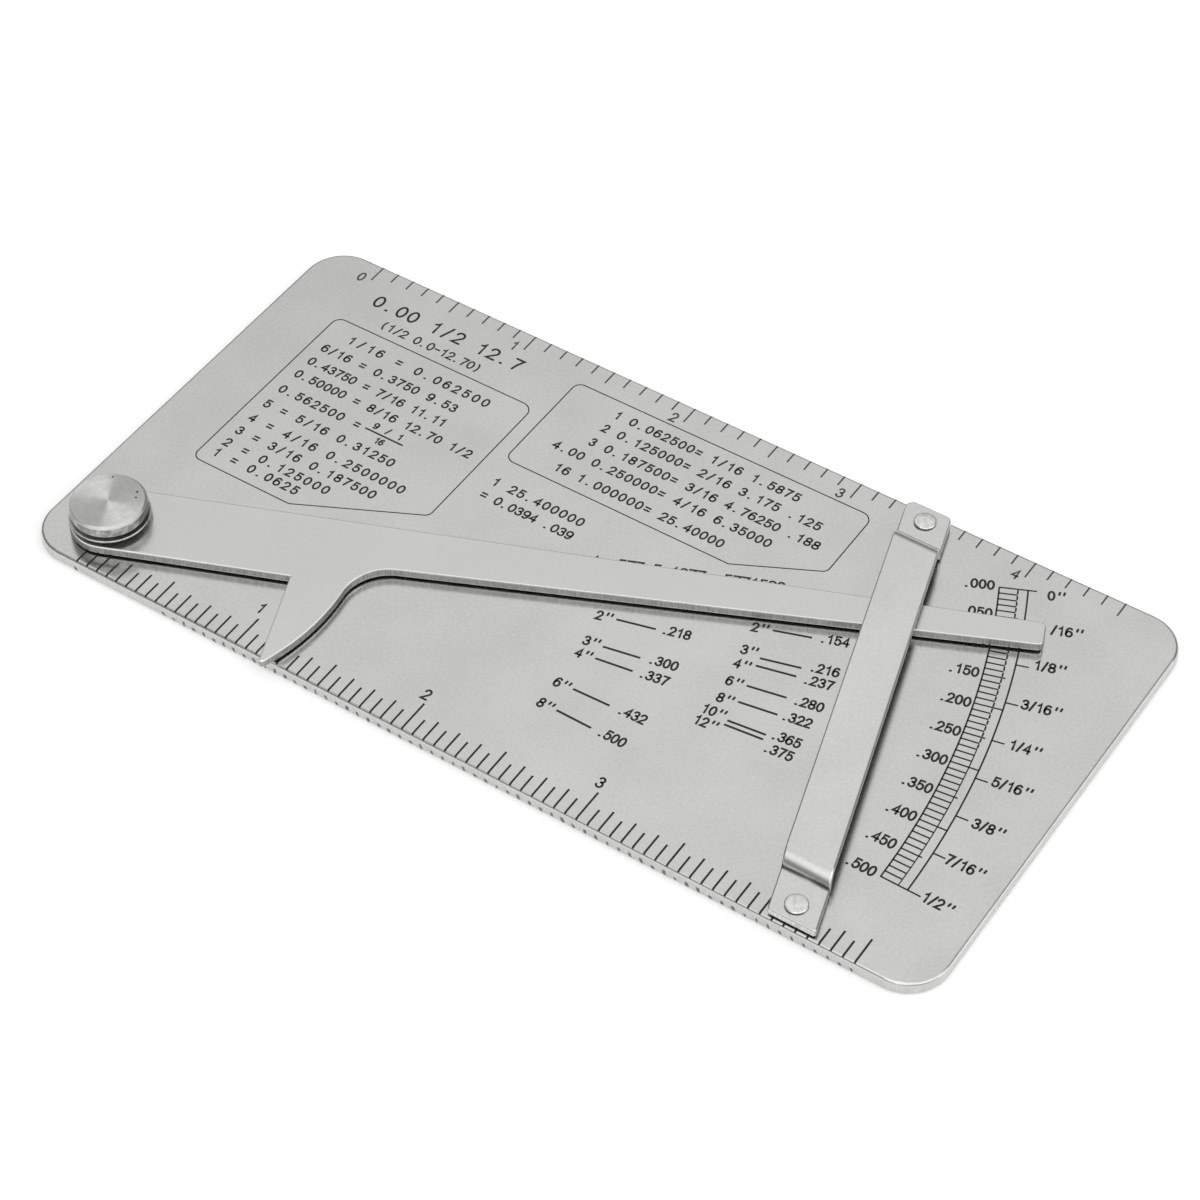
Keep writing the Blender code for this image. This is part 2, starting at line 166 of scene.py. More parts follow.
class NodeBench:
    """A node tree under construction."""

    def __init__(self, tree: bpy.types.NodeTree) -> None:
        """Start from an empty tree."""
        self.tree = tree
        self.tree.nodes.clear()

    def node(self, kind: str, settings: dict | None = None, sockets: dict | None = None) -> bpy.types.Node:
        """Add a node.

        Args:
            kind: The node's type.
            settings: Its own settings, set first.
            sockets: A value or a Signal for each input, by name or number.

        Returns:
            The node.
        """
        node = self.tree.nodes.new(kind)
        for name, value in (settings or {}).items():
            setattr(node, name, value)
        for name, value in (sockets or {}).items():
            socket = node.inputs[name]
            if isinstance(value, Signal):
                self.tree.links.new(value.socket, socket)
            elif socket.type == "RGBA" and len(value) == 3:
                socket.default_value = (*value, 1.0)
            else:
                socket.default_value = value
        return node

    def output(self, node: bpy.types.Node, name: str | int) -> Signal:
        """The node's output of that name or number."""
        return Signal(self, node.outputs[name])

    def maths(self, operation: str, *values: Any) -> Signal:
        """A Math node of the operation on up to three values."""
        return self.output(self.node("ShaderNodeMath", {"operation": operation}, dict(enumerate(values))), 0)

    def blend(self, share: Signal, first: Any, second: Any) -> Signal:
        """A colour between two colours, by the share."""
        sockets = {0: share, 6: first, 7: second}
        return self.output(self.node("ShaderNodeMix", {"data_type": "RGBA"}, sockets), 2)

    def place(self) -> Signal:
        """The place on the piece, in metres."""
        return self.output(self.node("ShaderNodeTexCoord"), "Object")

    def noise(self, cell: float | Sequence[float], detail: float = 3.0, turn: float = 0.0) -> Signal:
        """A noise from about 0 to 1 over the piece.

        Args:
            cell: The size of its cells in metres, or their sizes along the three axes of the pattern.
            detail: How many finer layers lie on it.
            turn: The angle of the pattern's own X axis on the piece.

        Returns:
            The noise.
        """
        turned = {"Vector": self.place(), "Rotation": (0.0, 0.0, turn)}
        mapping = self.node("ShaderNodeMapping", {"vector_type": "TEXTURE"}, turned)
        stretch = {0: self.output(mapping, 0), 1: tuple(1 / np.broadcast_to(cell, 3))}
        vector = self.output(self.node("ShaderNodeVectorMath", {"operation": "MULTIPLY"}, stretch), 0)
        sockets = {"Vector": vector, "Scale": 1.0, "Detail": detail, "Roughness": 0.55}
        return self.output(self.node("ShaderNodeTexNoise", None, sockets), 0)

    def part(self, vector: Signal, axis: int) -> Signal:
        """One component of a vector."""
        return self.output(self.node("ShaderNodeSeparateXYZ", None, {0: vector}), axis)

    def facing_up(self) -> Signal:
        """How far the surface faces up or down, from 0 on a wall to 1 on a flat."""
        return abs(self.part(self.output(self.node("ShaderNodeNewGeometry"), "Normal"), 2))

    def bump(self, height: Signal, depth: float) -> Signal:
        """The normal of a relief.

        Args:
            height: The relief, from 0 to 1.
            depth: Its full height in metres.

        Returns:
            The normal.
        """
        return self.output(self.node("ShaderNodeBump", None, {"Distance": depth, "Height": height}), 0)


@dataclass(frozen=True)
class Finish:
    """A finish: its name, its plain colour and how rough it is.

    Tones are shares of the colour, the darkest and the lightest. A gloss is how much the roughness
    differs between the ends of a pattern. A toning is where a pattern's ramp starts and ends.
    """

    WALL_TO_FLAT = (0.05, 0.25)

    name: str
    colour: Colour = (0.6, 0.598, 0.59)
    roughness: float = 0.35

    def material(self) -> bpy.types.Material:
        """Build the finish.

        Returns:
            The material.
        """
        material = bpy.data.materials.new(self.name)
        material.use_nodes = True
        bench = NodeBench(material.node_tree)
        shader = bench.node("ShaderNodeBsdfPrincipled", None, self.sockets(bench))
        bench.node("ShaderNodeOutputMaterial", None, {"Surface": bench.output(shader, "BSDF")})
        material.diffuse_color = (*self.colour, 1.0)
        return material

    def sockets(self, bench: NodeBench) -> dict:
        """The shader's inputs.

        Args:
            bench: The bench of the material's tree.

        Returns:
            A value or a Signal for each input that the finish sets.
        """
        return {"Base Color": self.colour, "Roughness": self.roughness}

    def tinted(self, bench: NodeBench, share: Signal, tones: Point) -> Signal:
        """The finish's colour made darker or lighter over the surface.

        Args:
            bench: The bench of the material's tree.
            share: From 0 for the dark tone to 1 for the light tone.
            tones: The dark and the light tone, as shares of the colour.

        Returns:
            The colour.
        """
        dark, light = (tuple(part * tone for part in self.colour) for tone in tones)
        return bench.blend(share, dark, light)


@dataclass(frozen=True)
class SatinSteel(Finish):
    """Sheet steel with a fine even grain on its faces and upright shear marks on its edges.

    The grain is a noise drawn out along the brushing, laid over a fine isotropic speckle. On the edges
    a noise drawn out along Z takes over. Soft clouds shift the tone and the gloss by a few hundredths.
    The rounded arris between face and edge can carry a painted highlight, and painted shade can lie in two
    creases, as far from the middle line in Y as the crease says.
    """

    turn: float = 0.0
    grain: tuple[float, float, float] = (0.0022, 0.00005, 0.00005)
    shear: tuple[float, float, float] = (0.00016, 0.00016, 0.0016)
    speckle: float = 0.00040
    cloud: float = 0.011
    depth: float = 0.0000036
    brushed: float = 0.8
    mottle: float = 0.045
    toning: Point = (0.25, 0.75)
    face_gloss: float = 0.08
    cloud_gloss: float = 0.06
    edge_tone: float = 1.0
    edge_spread: float = 0.25
    edge_rough: float = 0.22
    edge_toning: Point = (0.3, 0.7)
    # Painted highlight on the rounded arris: its strength, and where it starts and ends in how far the surface
    # faces up.
    arris: float = 0.0
    arris_foot: Point = (0.15, 0.45)
    arris_top: Point = (0.93, 0.995)
    # Painted shade: a near-black band in two creases, set by the crease fields and the painted crease shade
    # colour, cover and patches below.
    crease: float = 0.0
    crease_width: Point = (0.00004, 0.00028)
    # Near-white colour of the painted highlight on the arris.
    worn: Colour = (0.97, 0.97, 0.96)
    dirt: Colour = (0.05, 0.05, 0.047)
    dirt_cover: float = 0.95
    dirt_patches: Point = (0.2, 0.5)

    def sockets(self, bench: NodeBench) -> dict:
        """The shader's inputs.

        Args:
            bench: The bench of the material's tree.

        Returns:
            A value or a Signal for each input that the finish sets.
        """
        grain, upright = bench.noise(self.grain, turn=self.turn), bench.noise(self.shear, 2.0)
        speckle, cloud = bench.noise(self.speckle), bench.noise(self.cloud)
        facing = bench.facing_up()
        edge = 1.0 - facing.ramp(*self.WALL_TO_FLAT)
        face = grain * self.brushed + speckle * (1.0 - self.brushed)
        relief = face * (1.0 - edge) + upright * edge
        clouded = (cloud * 0.5 + speckle * 0.5).ramp(*self.toning)
        flat = self.tinted(bench, clouded, (1.0 - self.mottle, 1.0 + self.mottle))
        dark, light = self.edge_tone * (1.0 - self.edge_spread), self.edge_tone * (1.0 + self.edge_spread)
        metal = bench.blend(edge, flat, self.tinted(bench, upright.ramp(*self.edge_toning), (dark, light)))
        # Painted shade: the band along the two creases is blended towards a near-black colour, broken into
        # patches by the clouds.
        if self.crease:
            off = abs(abs(bench.part(bench.place(), 1)) - self.crease)
            dirt = (1.0 - off.ramp(*self.crease_width)) * cloud.ramp(*self.dirt_patches)
            metal = bench.blend(dirt * self.dirt_cover, metal, self.dirt)
        # Painted highlight: the arris between face and edge is blended towards near-white.
        rim = facing.ramp(*self.arris_foot) * (1.0 - facing.ramp(*self.arris_top))
        gloss = (relief - 0.5) * self.face_gloss + (cloud - 0.5) * self.cloud_gloss
        return {
            "Base Color": bench.blend(rim * self.arris, metal, self.worn),
            "Metallic": 1.0,
            "Roughness": gloss + edge * self.edge_rough + self.roughness,
            "Normal": bench.bump(relief, self.depth),
        }


@dataclass(frozen=True)
class TurnedSteel(Finish):
    """Steel turned on a lathe: fine rings about an axis, with a few small pits.

    The rings are a noise of the distance from the axis alone. The gloss is stretched along the lay, a share of
    a turn from the rings. A pit is its place from the axis in x and y, and its radius. Its floor is a share of
    that radius, and its depth is counted in rings. The upright walls take darker tones than the faces, as
    painted shade.
    """

    centre: Point = (0.0, 0.0)
    ring: float = 0.00012
    cloud: float = 0.0011
    depth: float = 0.0000025
    stretch: float = 0.3
    lay: float = 0.25
    tones: Point = (0.74, 1.12)
    toning: Point = (0.25, 0.75)
    wall_tones: Point = (0.36, 0.75)
    wall_toning: Point = (0.35, 0.65)
    ring_gloss: float = 0.14
    cloud_gloss: float = 0.10
    pit_tone: float = 0.12
    pit_floor: float = 0.6
    pit_depth: float = 8.0
    pits: tuple[tuple[float, float, float], ...] = ()

    def sockets(self, bench: NodeBench) -> dict:
        """The shader's inputs.

        Args:
            bench: The bench of the material's tree.

        Returns:
            A value or a Signal for each input that the finish sets.
        """
        x, y = (bench.part(bench.place(), axis) - self.centre[axis] for axis in (0, 1))
        rings = {"W": self._span(x, y) / self.ring, "Scale": 1.0, "Detail": 3.0, "Roughness": 0.6}
        turned = bench.output(bench.node("ShaderNodeTexNoise", {"noise_dimensions": "1D"}, rings), 0)
        cloud = bench.noise(self.cloud)
        clean = self._clean(bench, x, y)
        pitted = tuple(part * self.pit_tone for part in self.colour)
        tone = (turned * 0.6 + cloud * 0.4).ramp(*self.toning)
        face = bench.blend(clean, pitted, self.tinted(bench, tone, self.tones))
        # Painted shade: the upright walls take darker tones than the faces.
        wall = self.tinted(bench, cloud.ramp(*self.wall_toning), self.wall_tones)
        gloss = (turned - 0.5) * self.ring_gloss + (cloud - 0.5) * self.cloud_gloss
        return {
            "Base Color": bench.blend(bench.facing_up().ramp(*self.WALL_TO_FLAT), wall, face),
            "Metallic": 1.0,
            "Roughness": gloss + self.roughness,
            "Anisotropic": self.stretch,
            "Anisotropic Rotation": self.lay,
            "Normal": bench.bump(turned + clean * self.pit_depth, self.depth),
        }

    @staticmethod
    def _span(x: Signal, y: Signal) -> Signal:
        """The length of a step in x and y."""
        return (x * x + y * y) ** 0.5

    def _clean(self, bench: NodeBench, x: Signal, y: Signal) -> Signal | float:
        """1 on the clean metal and 0 in a pit.

        Args:
            bench: The bench of the material's tree.
            x: The distance from the axis along X.
            y: The distance from the axis along Y.

        Returns:
            The share of clean metal.
        """
        clean = 1.0
        for pit_x, pit_y, size in self.pits:
            away = self._span(x - pit_x, y - pit_y).ramp(size * self.pit_floor, size)
            clean = bench.maths("MINIMUM", clean, away)
        return clean


@dataclass(frozen=True)
class PeenedSteel(Finish):
    """Bright steel closed with a hammer: shallow dents and scuffs on a smooth dome."""

    dent: float = 0.0006
    scuff: tuple[float, float, float] = (0.0012, 0.0001, 0.0001)
    scuff_turn: float = 0.6
    scuff_share: float = 0.15
    depth: float = 0.000018
    tones: Point = (0.86, 1.08)
    toning: Point = (0.3, 0.7)
    gloss: float = 0.16

    def sockets(self, bench: NodeBench) -> dict:
        """The shader's inputs.

        Args:
            bench: The bench of the material's tree.

        Returns:
            A value or a Signal for each input that the finish sets.
        """
        dents, scuffs = bench.noise(self.dent, 2.0), bench.noise(self.scuff, 2.0, self.scuff_turn)
        return {
            "Base Color": self.tinted(bench, dents.ramp(*self.toning), self.tones),
            "Metallic": 1.0,
            "Roughness": (scuffs - 0.5) * self.gloss + self.roughness,
            "Normal": bench.bump(dents + scuffs * self.scuff_share, self.depth),
        }


@dataclass(frozen=True)
class EtchedInk(Finish):
    """Dark oxide that an etch leaves in the steel: matt, a little uneven and thin at places."""

    uneven: float = 0.00035
    depth: float = 0.000003
    tones: Point = (0.8, 1.4)
    toning: Point = (0.3, 0.75)
    gloss: float = 0.2
    shine: float = 0.3

    def sockets(self, bench: NodeBench) -> dict:
        """The shader's inputs.

        Args:
            bench: The bench of the material's tree.

        Returns:
            A value or a Signal for each input that the finish sets.
        """
        patches = bench.noise(self.uneven)
        return {
            "Base Color": self.tinted(bench, patches.ramp(*self.toning), self.tones),
            "Roughness": (patches - 0.5) * self.gloss + self.roughness,
            "Specular IOR Level": self.shine,
            "Normal": bench.bump(patches, self.depth),
        }


# Surfaces


class Surface:
    """A mesh under construction, from arrays of places and faces."""

    CREASE = math.cos(math.radians(40.0))

    def __init__(self, name: str, places: np.ndarray, faces: Sequence[Sequence[int]]) -> None:
        """Put the places and the faces into a mesh.

        Args:
            name: The name of the piece.
            places: The (x, y, z) rows in metres.
            faces: The numbers of each face's corners, in order.
        """
        self.mesh = bpy.data.meshes.new(name)
        self.mesh.from_pydata(places.tolist(), [], [list(face) for face in faces])
        self.mesh.validate()

    def object(self) -> bpy.types.Object:
        """Make the piece, with fair normals, and link it to the scene.

        Returns:
            The piece.
        """
        self._fair_normals()
        piece = bpy.data.objects.new(self.mesh.name, self.mesh)
        bpy.context.scene.collection.objects.link(piece)
        return piece

    def _fair_normals(self) -> None:
        """Shade curved faces smooth and keep flats flat.

        Each corner's normal is the sum of the normals of the faces around its vertex that lie within
        the crease angle of its own face, each weighted by the area of the whole flat it belongs to.
        """
        mesh = self.mesh
        count = len(mesh.polygons)
        normals = np.empty(count * 3)
        mesh.polygons.foreach_get("normal", normals)
        normals = normals.reshape(-1, 3)
        areas, sizes = np.empty(count), np.empty(count, int)
        mesh.polygons.foreach_get("area", areas)
        mesh.polygons.foreach_get("loop_total", sizes)
        corners = np.empty(len(mesh.loops), int)
        mesh.loops.foreach_get("vertex_index", corners)
        face_of = np.repeat(np.arange(count), sizes)

        _, flat = np.unique(np.round(normals, 4), axis=0, return_inverse=True)
        weights = np.bincount(flat.ravel(), areas)[flat.ravel()]

        order = np.argsort(corners, kind="stable")
        _, starts, valence = np.unique(corners[order], return_index=True, return_counts=True)
        own_start, own_valence = np.repeat(starts, valence), np.repeat(valence, valence)
        first = np.repeat(np.arange(len(order)), own_valence)
        offsets = np.arange(own_valence.sum()) - np.repeat(np.cumsum(own_valence) - own_valence, own_valence)
        second = np.repeat(own_start, own_valence) + offsets
        face_a, face_b = face_of[order[first]], face_of[order[second]]
        near = np.einsum("ij,ij->i", normals[face_a], normals[face_b]) > self.CREASE
        fair = np.zeros((len(order), 3))
        np.add.at(fair, order[first[near]], normals[face_b[near]] * weights[face_b[near], None])
        fair /= np.linalg.norm(fair, axis=1, keepdims=True)
        mesh.shade_smooth()
        mesh.normals_split_custom_set(fair.tolist())

    @classmethod
    def skin(cls, name: str, node: bpy.types.Object) -> Surface:
        """A node's own surface, its loose triangles joined where their corners meet.

        Args:
            name: The name of the piece.
            node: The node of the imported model.

        Returns:
            The surface.
        """
        places = np.empty(len(node.data.vertices) * 3)
        node.data.vertices.foreach_get("co", places)
        corners = np.empty(len(node.data.loops), int)
        node.data.loops.foreach_get("vertex_index", corners)
        places = places.reshape(-1, 3)
        _, kept, joined = np.unique(np.round(places, 7), axis=0, return_index=True, return_inverse=True)
        faces = joined.ravel()[corners].reshape(-1, 3)
        whole = (faces != np.roll(faces, 1, axis=1)).all(axis=1)
        return cls(name, places[kept], faces[whole].tolist())

    @classmethod
    def turned(cls, name: str, profile: np.ndarray, centre: Point, steps: int, closed: bool = False) -> Surface:
        """A profile turned about an upright axis.

        A point at radius r and height z goes to (cx + r cos a, cy + r sin a, z) for every step of a.

        Args:
            name: The name of the piece.
            profile: The (radius, height) rows, down the outer side. An open one starts and ends at 0.
            centre: The place of the axis.
            steps: The steps around the axis.
            closed: Whether the profile is a ring of its own, clear of the axis.

        Returns:
            The surface.
        """
        rows = profile if closed else profile[1:-1]
        angles = np.arange(steps) * 2 * math.pi / steps
        ring = np.stack([np.cos(angles), np.sin(angles), np.zeros(steps)], axis=1)
        base, up = np.array([*centre, 0.0]), np.array([0.0, 0.0, 1.0])
        places = (rows[:, None, :1] * ring + rows[:, None, 1:] * up + base).reshape(-1, 3)
        count = len(rows)
        pairs = count if closed else count - 1
        low = np.arange(pairs)[:, None] * steps
        high = (np.arange(pairs)[:, None] + 1) % count * steps
        here, there = np.arange(steps), (np.arange(steps) + 1) % steps
        quads = np.stack([low + here, high + here, high + there, low + there], axis=-1).reshape(-1, 4)
        faces = quads.tolist()
        if not closed:
            top, bottom = len(places), len(places) + 1
            last = (count - 1) * steps
            places = np.vstack([places, base + profile[[0, -1], 1:] * up])
            faces += np.stack([np.full(steps, top), here, there], axis=1).tolist()
            faces += np.stack([np.full(steps, bottom), last + there, last + here], axis=1).tolist()
        return cls(name, places, faces)


def arc(centre: Point, radii: Point, start: float, end: float) -> np.ndarray:
    """Points on an upright ellipse: centre + (rx cos a, ry sin a).

    Args:
        centre: The middle.
        radii: The radius along x and along y.
        start: The first angle, in degrees.
        end: The last angle, in degrees.

    Returns:
        The points, both ends included.
    """
    sweep = math.radians(end - start)
    turns = math.radians(start) + sweep * np.linspace(0.0, 1.0, max(3, math.ceil(abs(sweep) / ARC_STEP) + 1))
    return np.stack([centre[0] + radii[0] * np.cos(turns), centre[1] + radii[1] * np.sin(turns)], axis=1)


def rounded(points: Sequence[Point], radii: Sequence[float]) -> np.ndarray:
    """A closed outline with every corner rounded.

    Each corner gives way to a circle's arc that touches both its sides.

    Args:
        points: The corners, in order.
        radii: The radius of each corner.

    Returns:
        The outline, its first point repeated at the end.
    """
    corners = np.array(points, float)
    outline = []
    for before, corner, after, radius in zip(np.roll(corners, 1, 0), corners, np.roll(corners, -1, 0), radii):
        back = (before - corner) / np.linalg.norm(before - corner)
        ahead = (after - corner) / np.linalg.norm(after - corner)
        half = math.acos(float(np.clip(back @ ahead, -1.0, 1.0))) / 2
        middle = back + ahead
        centre = corner + middle / np.linalg.norm(middle) * radius / math.sin(half)
        first, last = (corner + side * radius / math.tan(half) - centre for side in (back, ahead))
        start = math.atan2(first[1], first[0])
        turn = (math.atan2(last[1], last[0]) - start + math.pi) % (2 * math.pi) - math.pi
        outline.append(arc(tuple(centre), (radius, radius), math.degrees(start), math.degrees(start + turn)))
    return np.vstack([*outline, outline[0][:1]])


# Figures


@dataclass
class Figures:
    """Figures drawn with a round pen, each in a cell of height 1.

    A figure is a list of pen strokes made of straight runs and of arcs of ellipses.
    """

    digit: float = 0.52
    gap: float = 0.23
    broad: float = 1.18
    cells: dict[str, tuple[float, list[np.ndarray]]] = field(default_factory=dict)

    def __post_init__(self) -> None:
        """Draw the cells."""
        w = self.digit
        one = np.array([(w * 0.16, 0.77), (w * 0.42, 0.83), (w * 0.60, 1.0), (w * 0.60, 0.0)])
        eight = [arc((w / 2, 0.76), (w * 0.43, 0.24), -90, 270), arc((w / 2, 0.26), (w / 2, 0.26), 0, 360)]
        six = [
            np.vstack([arc((w * 0.56, 0.52), (w * 0.54, 0.48), 52, 178), [(w * 0.02, 0.32)]]),
            arc((w / 2, 0.31), (w / 2, 0.31), 0, 360),
        ]
        top_bow = arc((w * 0.48, 0.76), (w * 0.42, 0.24), 165, -90)
        low_bow = arc((w / 2, 0.27), (w / 2, 0.27), 90, -165)
        five = arc((w / 2, 0.33), (w / 2, 0.33), 128, -155)
        two = arc((w / 2, 0.72), (w * 0.47, 0.28), 172, -35)
        self.cells.update(
            {
                "0": (w, [arc((w / 2, 0.5), (w / 2, 0.5), 0, 360)]),
                "1": (w * 0.9, [one]),
                "2": (w, [np.vstack([two, [(0.0, 0.0), (w, 0.0)]])]),
                "3": (w, [top_bow, low_bow]),
                "4": (w, [np.array([(w * 0.76, 0.0), (w * 0.76, 1.0), (0.0, 0.30), (w, 0.30)])]),
                "5": (w, [np.vstack([[(w * 0.92, 1.0), (w * 0.18, 1.0), (w * 0.09, 0.5)], five])]),
                "6": (w, six),
                "7": (w, [np.array([(0.0, 1.0), (w, 1.0), (w * 0.58, 0.5), (w * 0.36, 0.0)])]),
                "8": (w, eight),
                "9": (w, [np.array([(w, 1.0)]) - stroke for stroke in six]),
                ".": (0.24, [np.array([(0.0, 0.03), (0.08, 0.03)])]),
                "/": (w * 0.66, [np.array([(0.0, -0.04), (w * 0.66, 1.04)])]),
                '"': (0.70, [np.array([(x, 1.0), (x - 0.05, 0.72)]) for x in (0.25, 0.68)]),
                "=": (w * 0.9, [np.array([(0.0, y), (w * 0.9, y)]) for y in (0.28, 0.68)]),
                "-": (w * 0.8, [np.array([(0.0, 0.5), (w * 0.8, 0.5)])]),
                "(": (0.18, [arc((0.34, 0.47), (0.32, 0.66), 122, 238)]),
                ")": (0.18, [arc((-0.16, 0.47), (0.32, 0.66), 58, -58)]),
                " ": (w * 0.6, []),
            }
        )

    def line(
        self,
        text: str,
        anchor: Point,
        height: float,
        turn: float = 0.0,
        align: Align = Align.MIDDLE,
    ) -> list[np.ndarray]:
        """Lay out a line of figures, each as wide as it is drawn.

        Args:
            text: The figures.
            anchor: The place at half the height of the line, at its left, middle or right.
            height: The height of the figures.
            turn: The angle of the line, in degrees.
            align: Which part of the line stands on the anchor.

        Returns:
            The pen's paths.
        """
        sizes = np.array([self.cells[letter][0] for letter in text])
        starts = np.cumsum(sizes + self.gap) - sizes - self.gap
        full = starts[-1] + sizes[-1]
        return self._set(text, starts - align.value * full, anchor, (height, height), turn)

    def row(
        self, text: str, left: float, right: float, y: float, height: float, turn: float = 0.0
    ) -> list[np.ndarray]:
        """Lay out a line of figures, broad and evenly spaced, between two ends.

        Args:
            text: The figures.
            left: The x of the first figure's left side.
            right: The x of the last figure's right side, before the turn.
            y: The place of half the height of the line.
            height: The height of the figures.
            turn: The angle of the line about its left end, in degrees.

        Returns:
            The pen's paths.
        """
        broad = height * self.broad
        sizes = np.array([self.cells[letter][0] for letter in text])
        middles = np.linspace(sizes[0] / 2, (right - left) / broad - sizes[-1] / 2, len(text))
        return self._set(text, middles - sizes / 2, (left, y), (broad, height), turn)

    def _set(
        self, text: str, starts: np.ndarray, anchor: Point, scale: Point, turn: float
    ) -> list[np.ndarray]:
        """Draw the figures from their starts on, turned about the anchor.

        Args:
            text: The figures.
            starts: The start of each cell.
            anchor: The place that the starts are measured from.
            scale: The size of a cell's unit along the line and across it.
            turn: The angle of the line, in degrees.

        Returns:
            The pen's paths.
        """
        angle = math.radians(turn)
        spin = np.array([(math.cos(angle), math.sin(angle)), (-math.sin(angle), math.cos(angle))])
        paths = []
        for letter, start in zip(text, starts):
            shift = np.array([start, -0.5])
            paths += [(stroke + shift) * scale @ spin + np.array(anchor) for stroke in self.cells[letter][1]]
        return paths


# Marks on the plate


@dataclass
class Board:
    """The plate's marked face: where its drawing lies and how its edge falls away."""

    low: np.ndarray
    high: np.ndarray
    zero_from_left: float = 8.85
    edge_round: float = 0.5
    lift: float = 0.002
    ink: float = 0.007

    @property
    def width(self) -> float:
        """The plate's width in millimetres."""
        return float(self.high[1] - self.low[1]) / MM

    def place(self, drawn: np.ndarray, height: np.ndarray | float) -> np.ndarray:
        """Put drawn points on the face.

        Near a long edge the face falls away along a quarter circle of radius r: at a distance t from
        the edge it lies r - sqrt(r² - (r - t)²) lower.

        Args:
            drawn: The (x, y) rows in millimetres.
            height: The height above the face in millimetres.

        Returns:
            The places in metres.
        """
        edge = np.minimum(drawn[..., 1], self.width - drawn[..., 1])
        over = np.clip(self.edge_round - edge, 0.0, self.edge_round)
        drop = self.edge_round - np.sqrt(self.edge_round**2 - over**2)
        x = self.low[0] + (drawn[..., 0] + self.zero_from_left) * MM
        y = self.low[1] + drawn[..., 1] * MM
        z = self.high[2] + (height - drop) * MM
        return np.stack([x, y, z], axis=-1)


@dataclass
class Marks:
    """One piece of ink: pen strokes laid on the plate, each a thin closed bar."""

    SHARPEST = 0.45
    ROUND_END = np.array([0.98, 0.80, 0.45])

    name: str
    board: Board
    pen: float = 0.25
    strokes: list[tuple[np.ndarray, float, bool]] = field(default_factory=list)

    def draw(self, paths: Iterable[np.ndarray], pen: float | None = None, blunt: bool = False) -> Marks:
        """Add strokes.

        Args:
            paths: The (x, y) rows of each stroke, in millimetres.
            pen: The width of these strokes, if it isn't the usual one.
            blunt: Whether the ends are cut square rather than round.

        Returns:
            The marks themselves.
        """
        self.strokes += [(np.asarray(path, float), pen or self.pen, blunt) for path in paths]
        return self

    def surface(self) -> Surface:
        """Sweep every stroke into a bar of four sides.

        The side points lie half the pen's width to the left and right of the path, along the mean of
        the two neighbouring normals, lengthened by 1 / cos(half the bend) so that the width holds, but
        not at bends past the sharpest. A round end narrows over three more rows, as sqrt(1 - t²).

        Returns:
            The surface.
        """
        places, faces, count = [], [], 0
        for path, pen, blunt in self.strokes:
            closed = len(path) > 3 and np.allclose(path[0], path[-1])
            rows, half = self._rows(path, pen / 2, blunt, closed)
            side = rows[:, None, :] + half[:, None, :] * np.array([1.0, -1.0])[None, :, None]
            bottom = self.board.place(side, self.board.lift)
            top = self.board.place(side, self.board.lift + self.board.ink)
            ring = np.stack([bottom[:, 0], top[:, 0], top[:, 1], bottom[:, 1]], axis=1)
            size = len(rows)
            here = np.arange(size if closed else size - 1)[:, None] * 4
            there = (np.arange(size if closed else size - 1)[:, None] + 1) % size * 4
            a, b = np.arange(4), (np.arange(4) + 1) % 4
            quads = np.stack([here + a, here + b, there + b, there + a], axis=-1).reshape(-1, 4)
            if not closed:
                caps = [[3, 2, 1, 0], [size * 4 - 4, size * 4 - 3, size * 4 - 2, size * 4 - 1]]
                quads = np.vstack([quads, caps])
            places.append(ring.reshape(-1, 3))
            faces.append(quads + count)
            count += size * 4
        return Surface(self.name, np.vstack(places), np.vstack(faces).tolist())

    @staticmethod
    def _rows(path: np.ndarray, half: float, blunt: bool, closed: bool) -> tuple[np.ndarray, np.ndarray]:
        """The centre points of a stroke's rows and the step from each to its left side.

        Args:
            path: The stroke's path.
            half: Half the pen's width.
            blunt: Whether the ends are cut square.
            closed: Whether the last point repeats the first.

        Returns:
            The centre points and the steps.
        """
        runs = np.diff(path, axis=0)
        runs /= np.linalg.norm(runs, axis=1, keepdims=True)
        if closed:
            before, after, rows = np.roll(runs, 1, 0), runs, path[:-1]
        else:
            before, after, rows = np.vstack([runs[:1], runs]), np.vstack([runs, runs[-1:]]), path
        middle = before + after
        middle /= np.linalg.norm(middle, axis=1, keepdims=True)
        reach = half / np.clip(np.einsum("ij,ij->i", middle, after), Marks.SHARPEST, 1.0)
        steps = np.stack([-middle[:, 1], middle[:, 0]], axis=1) * reach[:, None]
        if closed or blunt:
            return rows, steps
        back = Marks.ROUND_END
        narrow = np.sqrt(1 - back**2)
        head = rows[0] - runs[0] * half * back[:, None]
        tail = rows[-1] + runs[-1] * half * back[::-1, None]
        rows = np.vstack([head, rows, tail])
        return rows, np.vstack([steps[0] * narrow[:, None], steps, steps[-1] * narrow[::-1, None]])


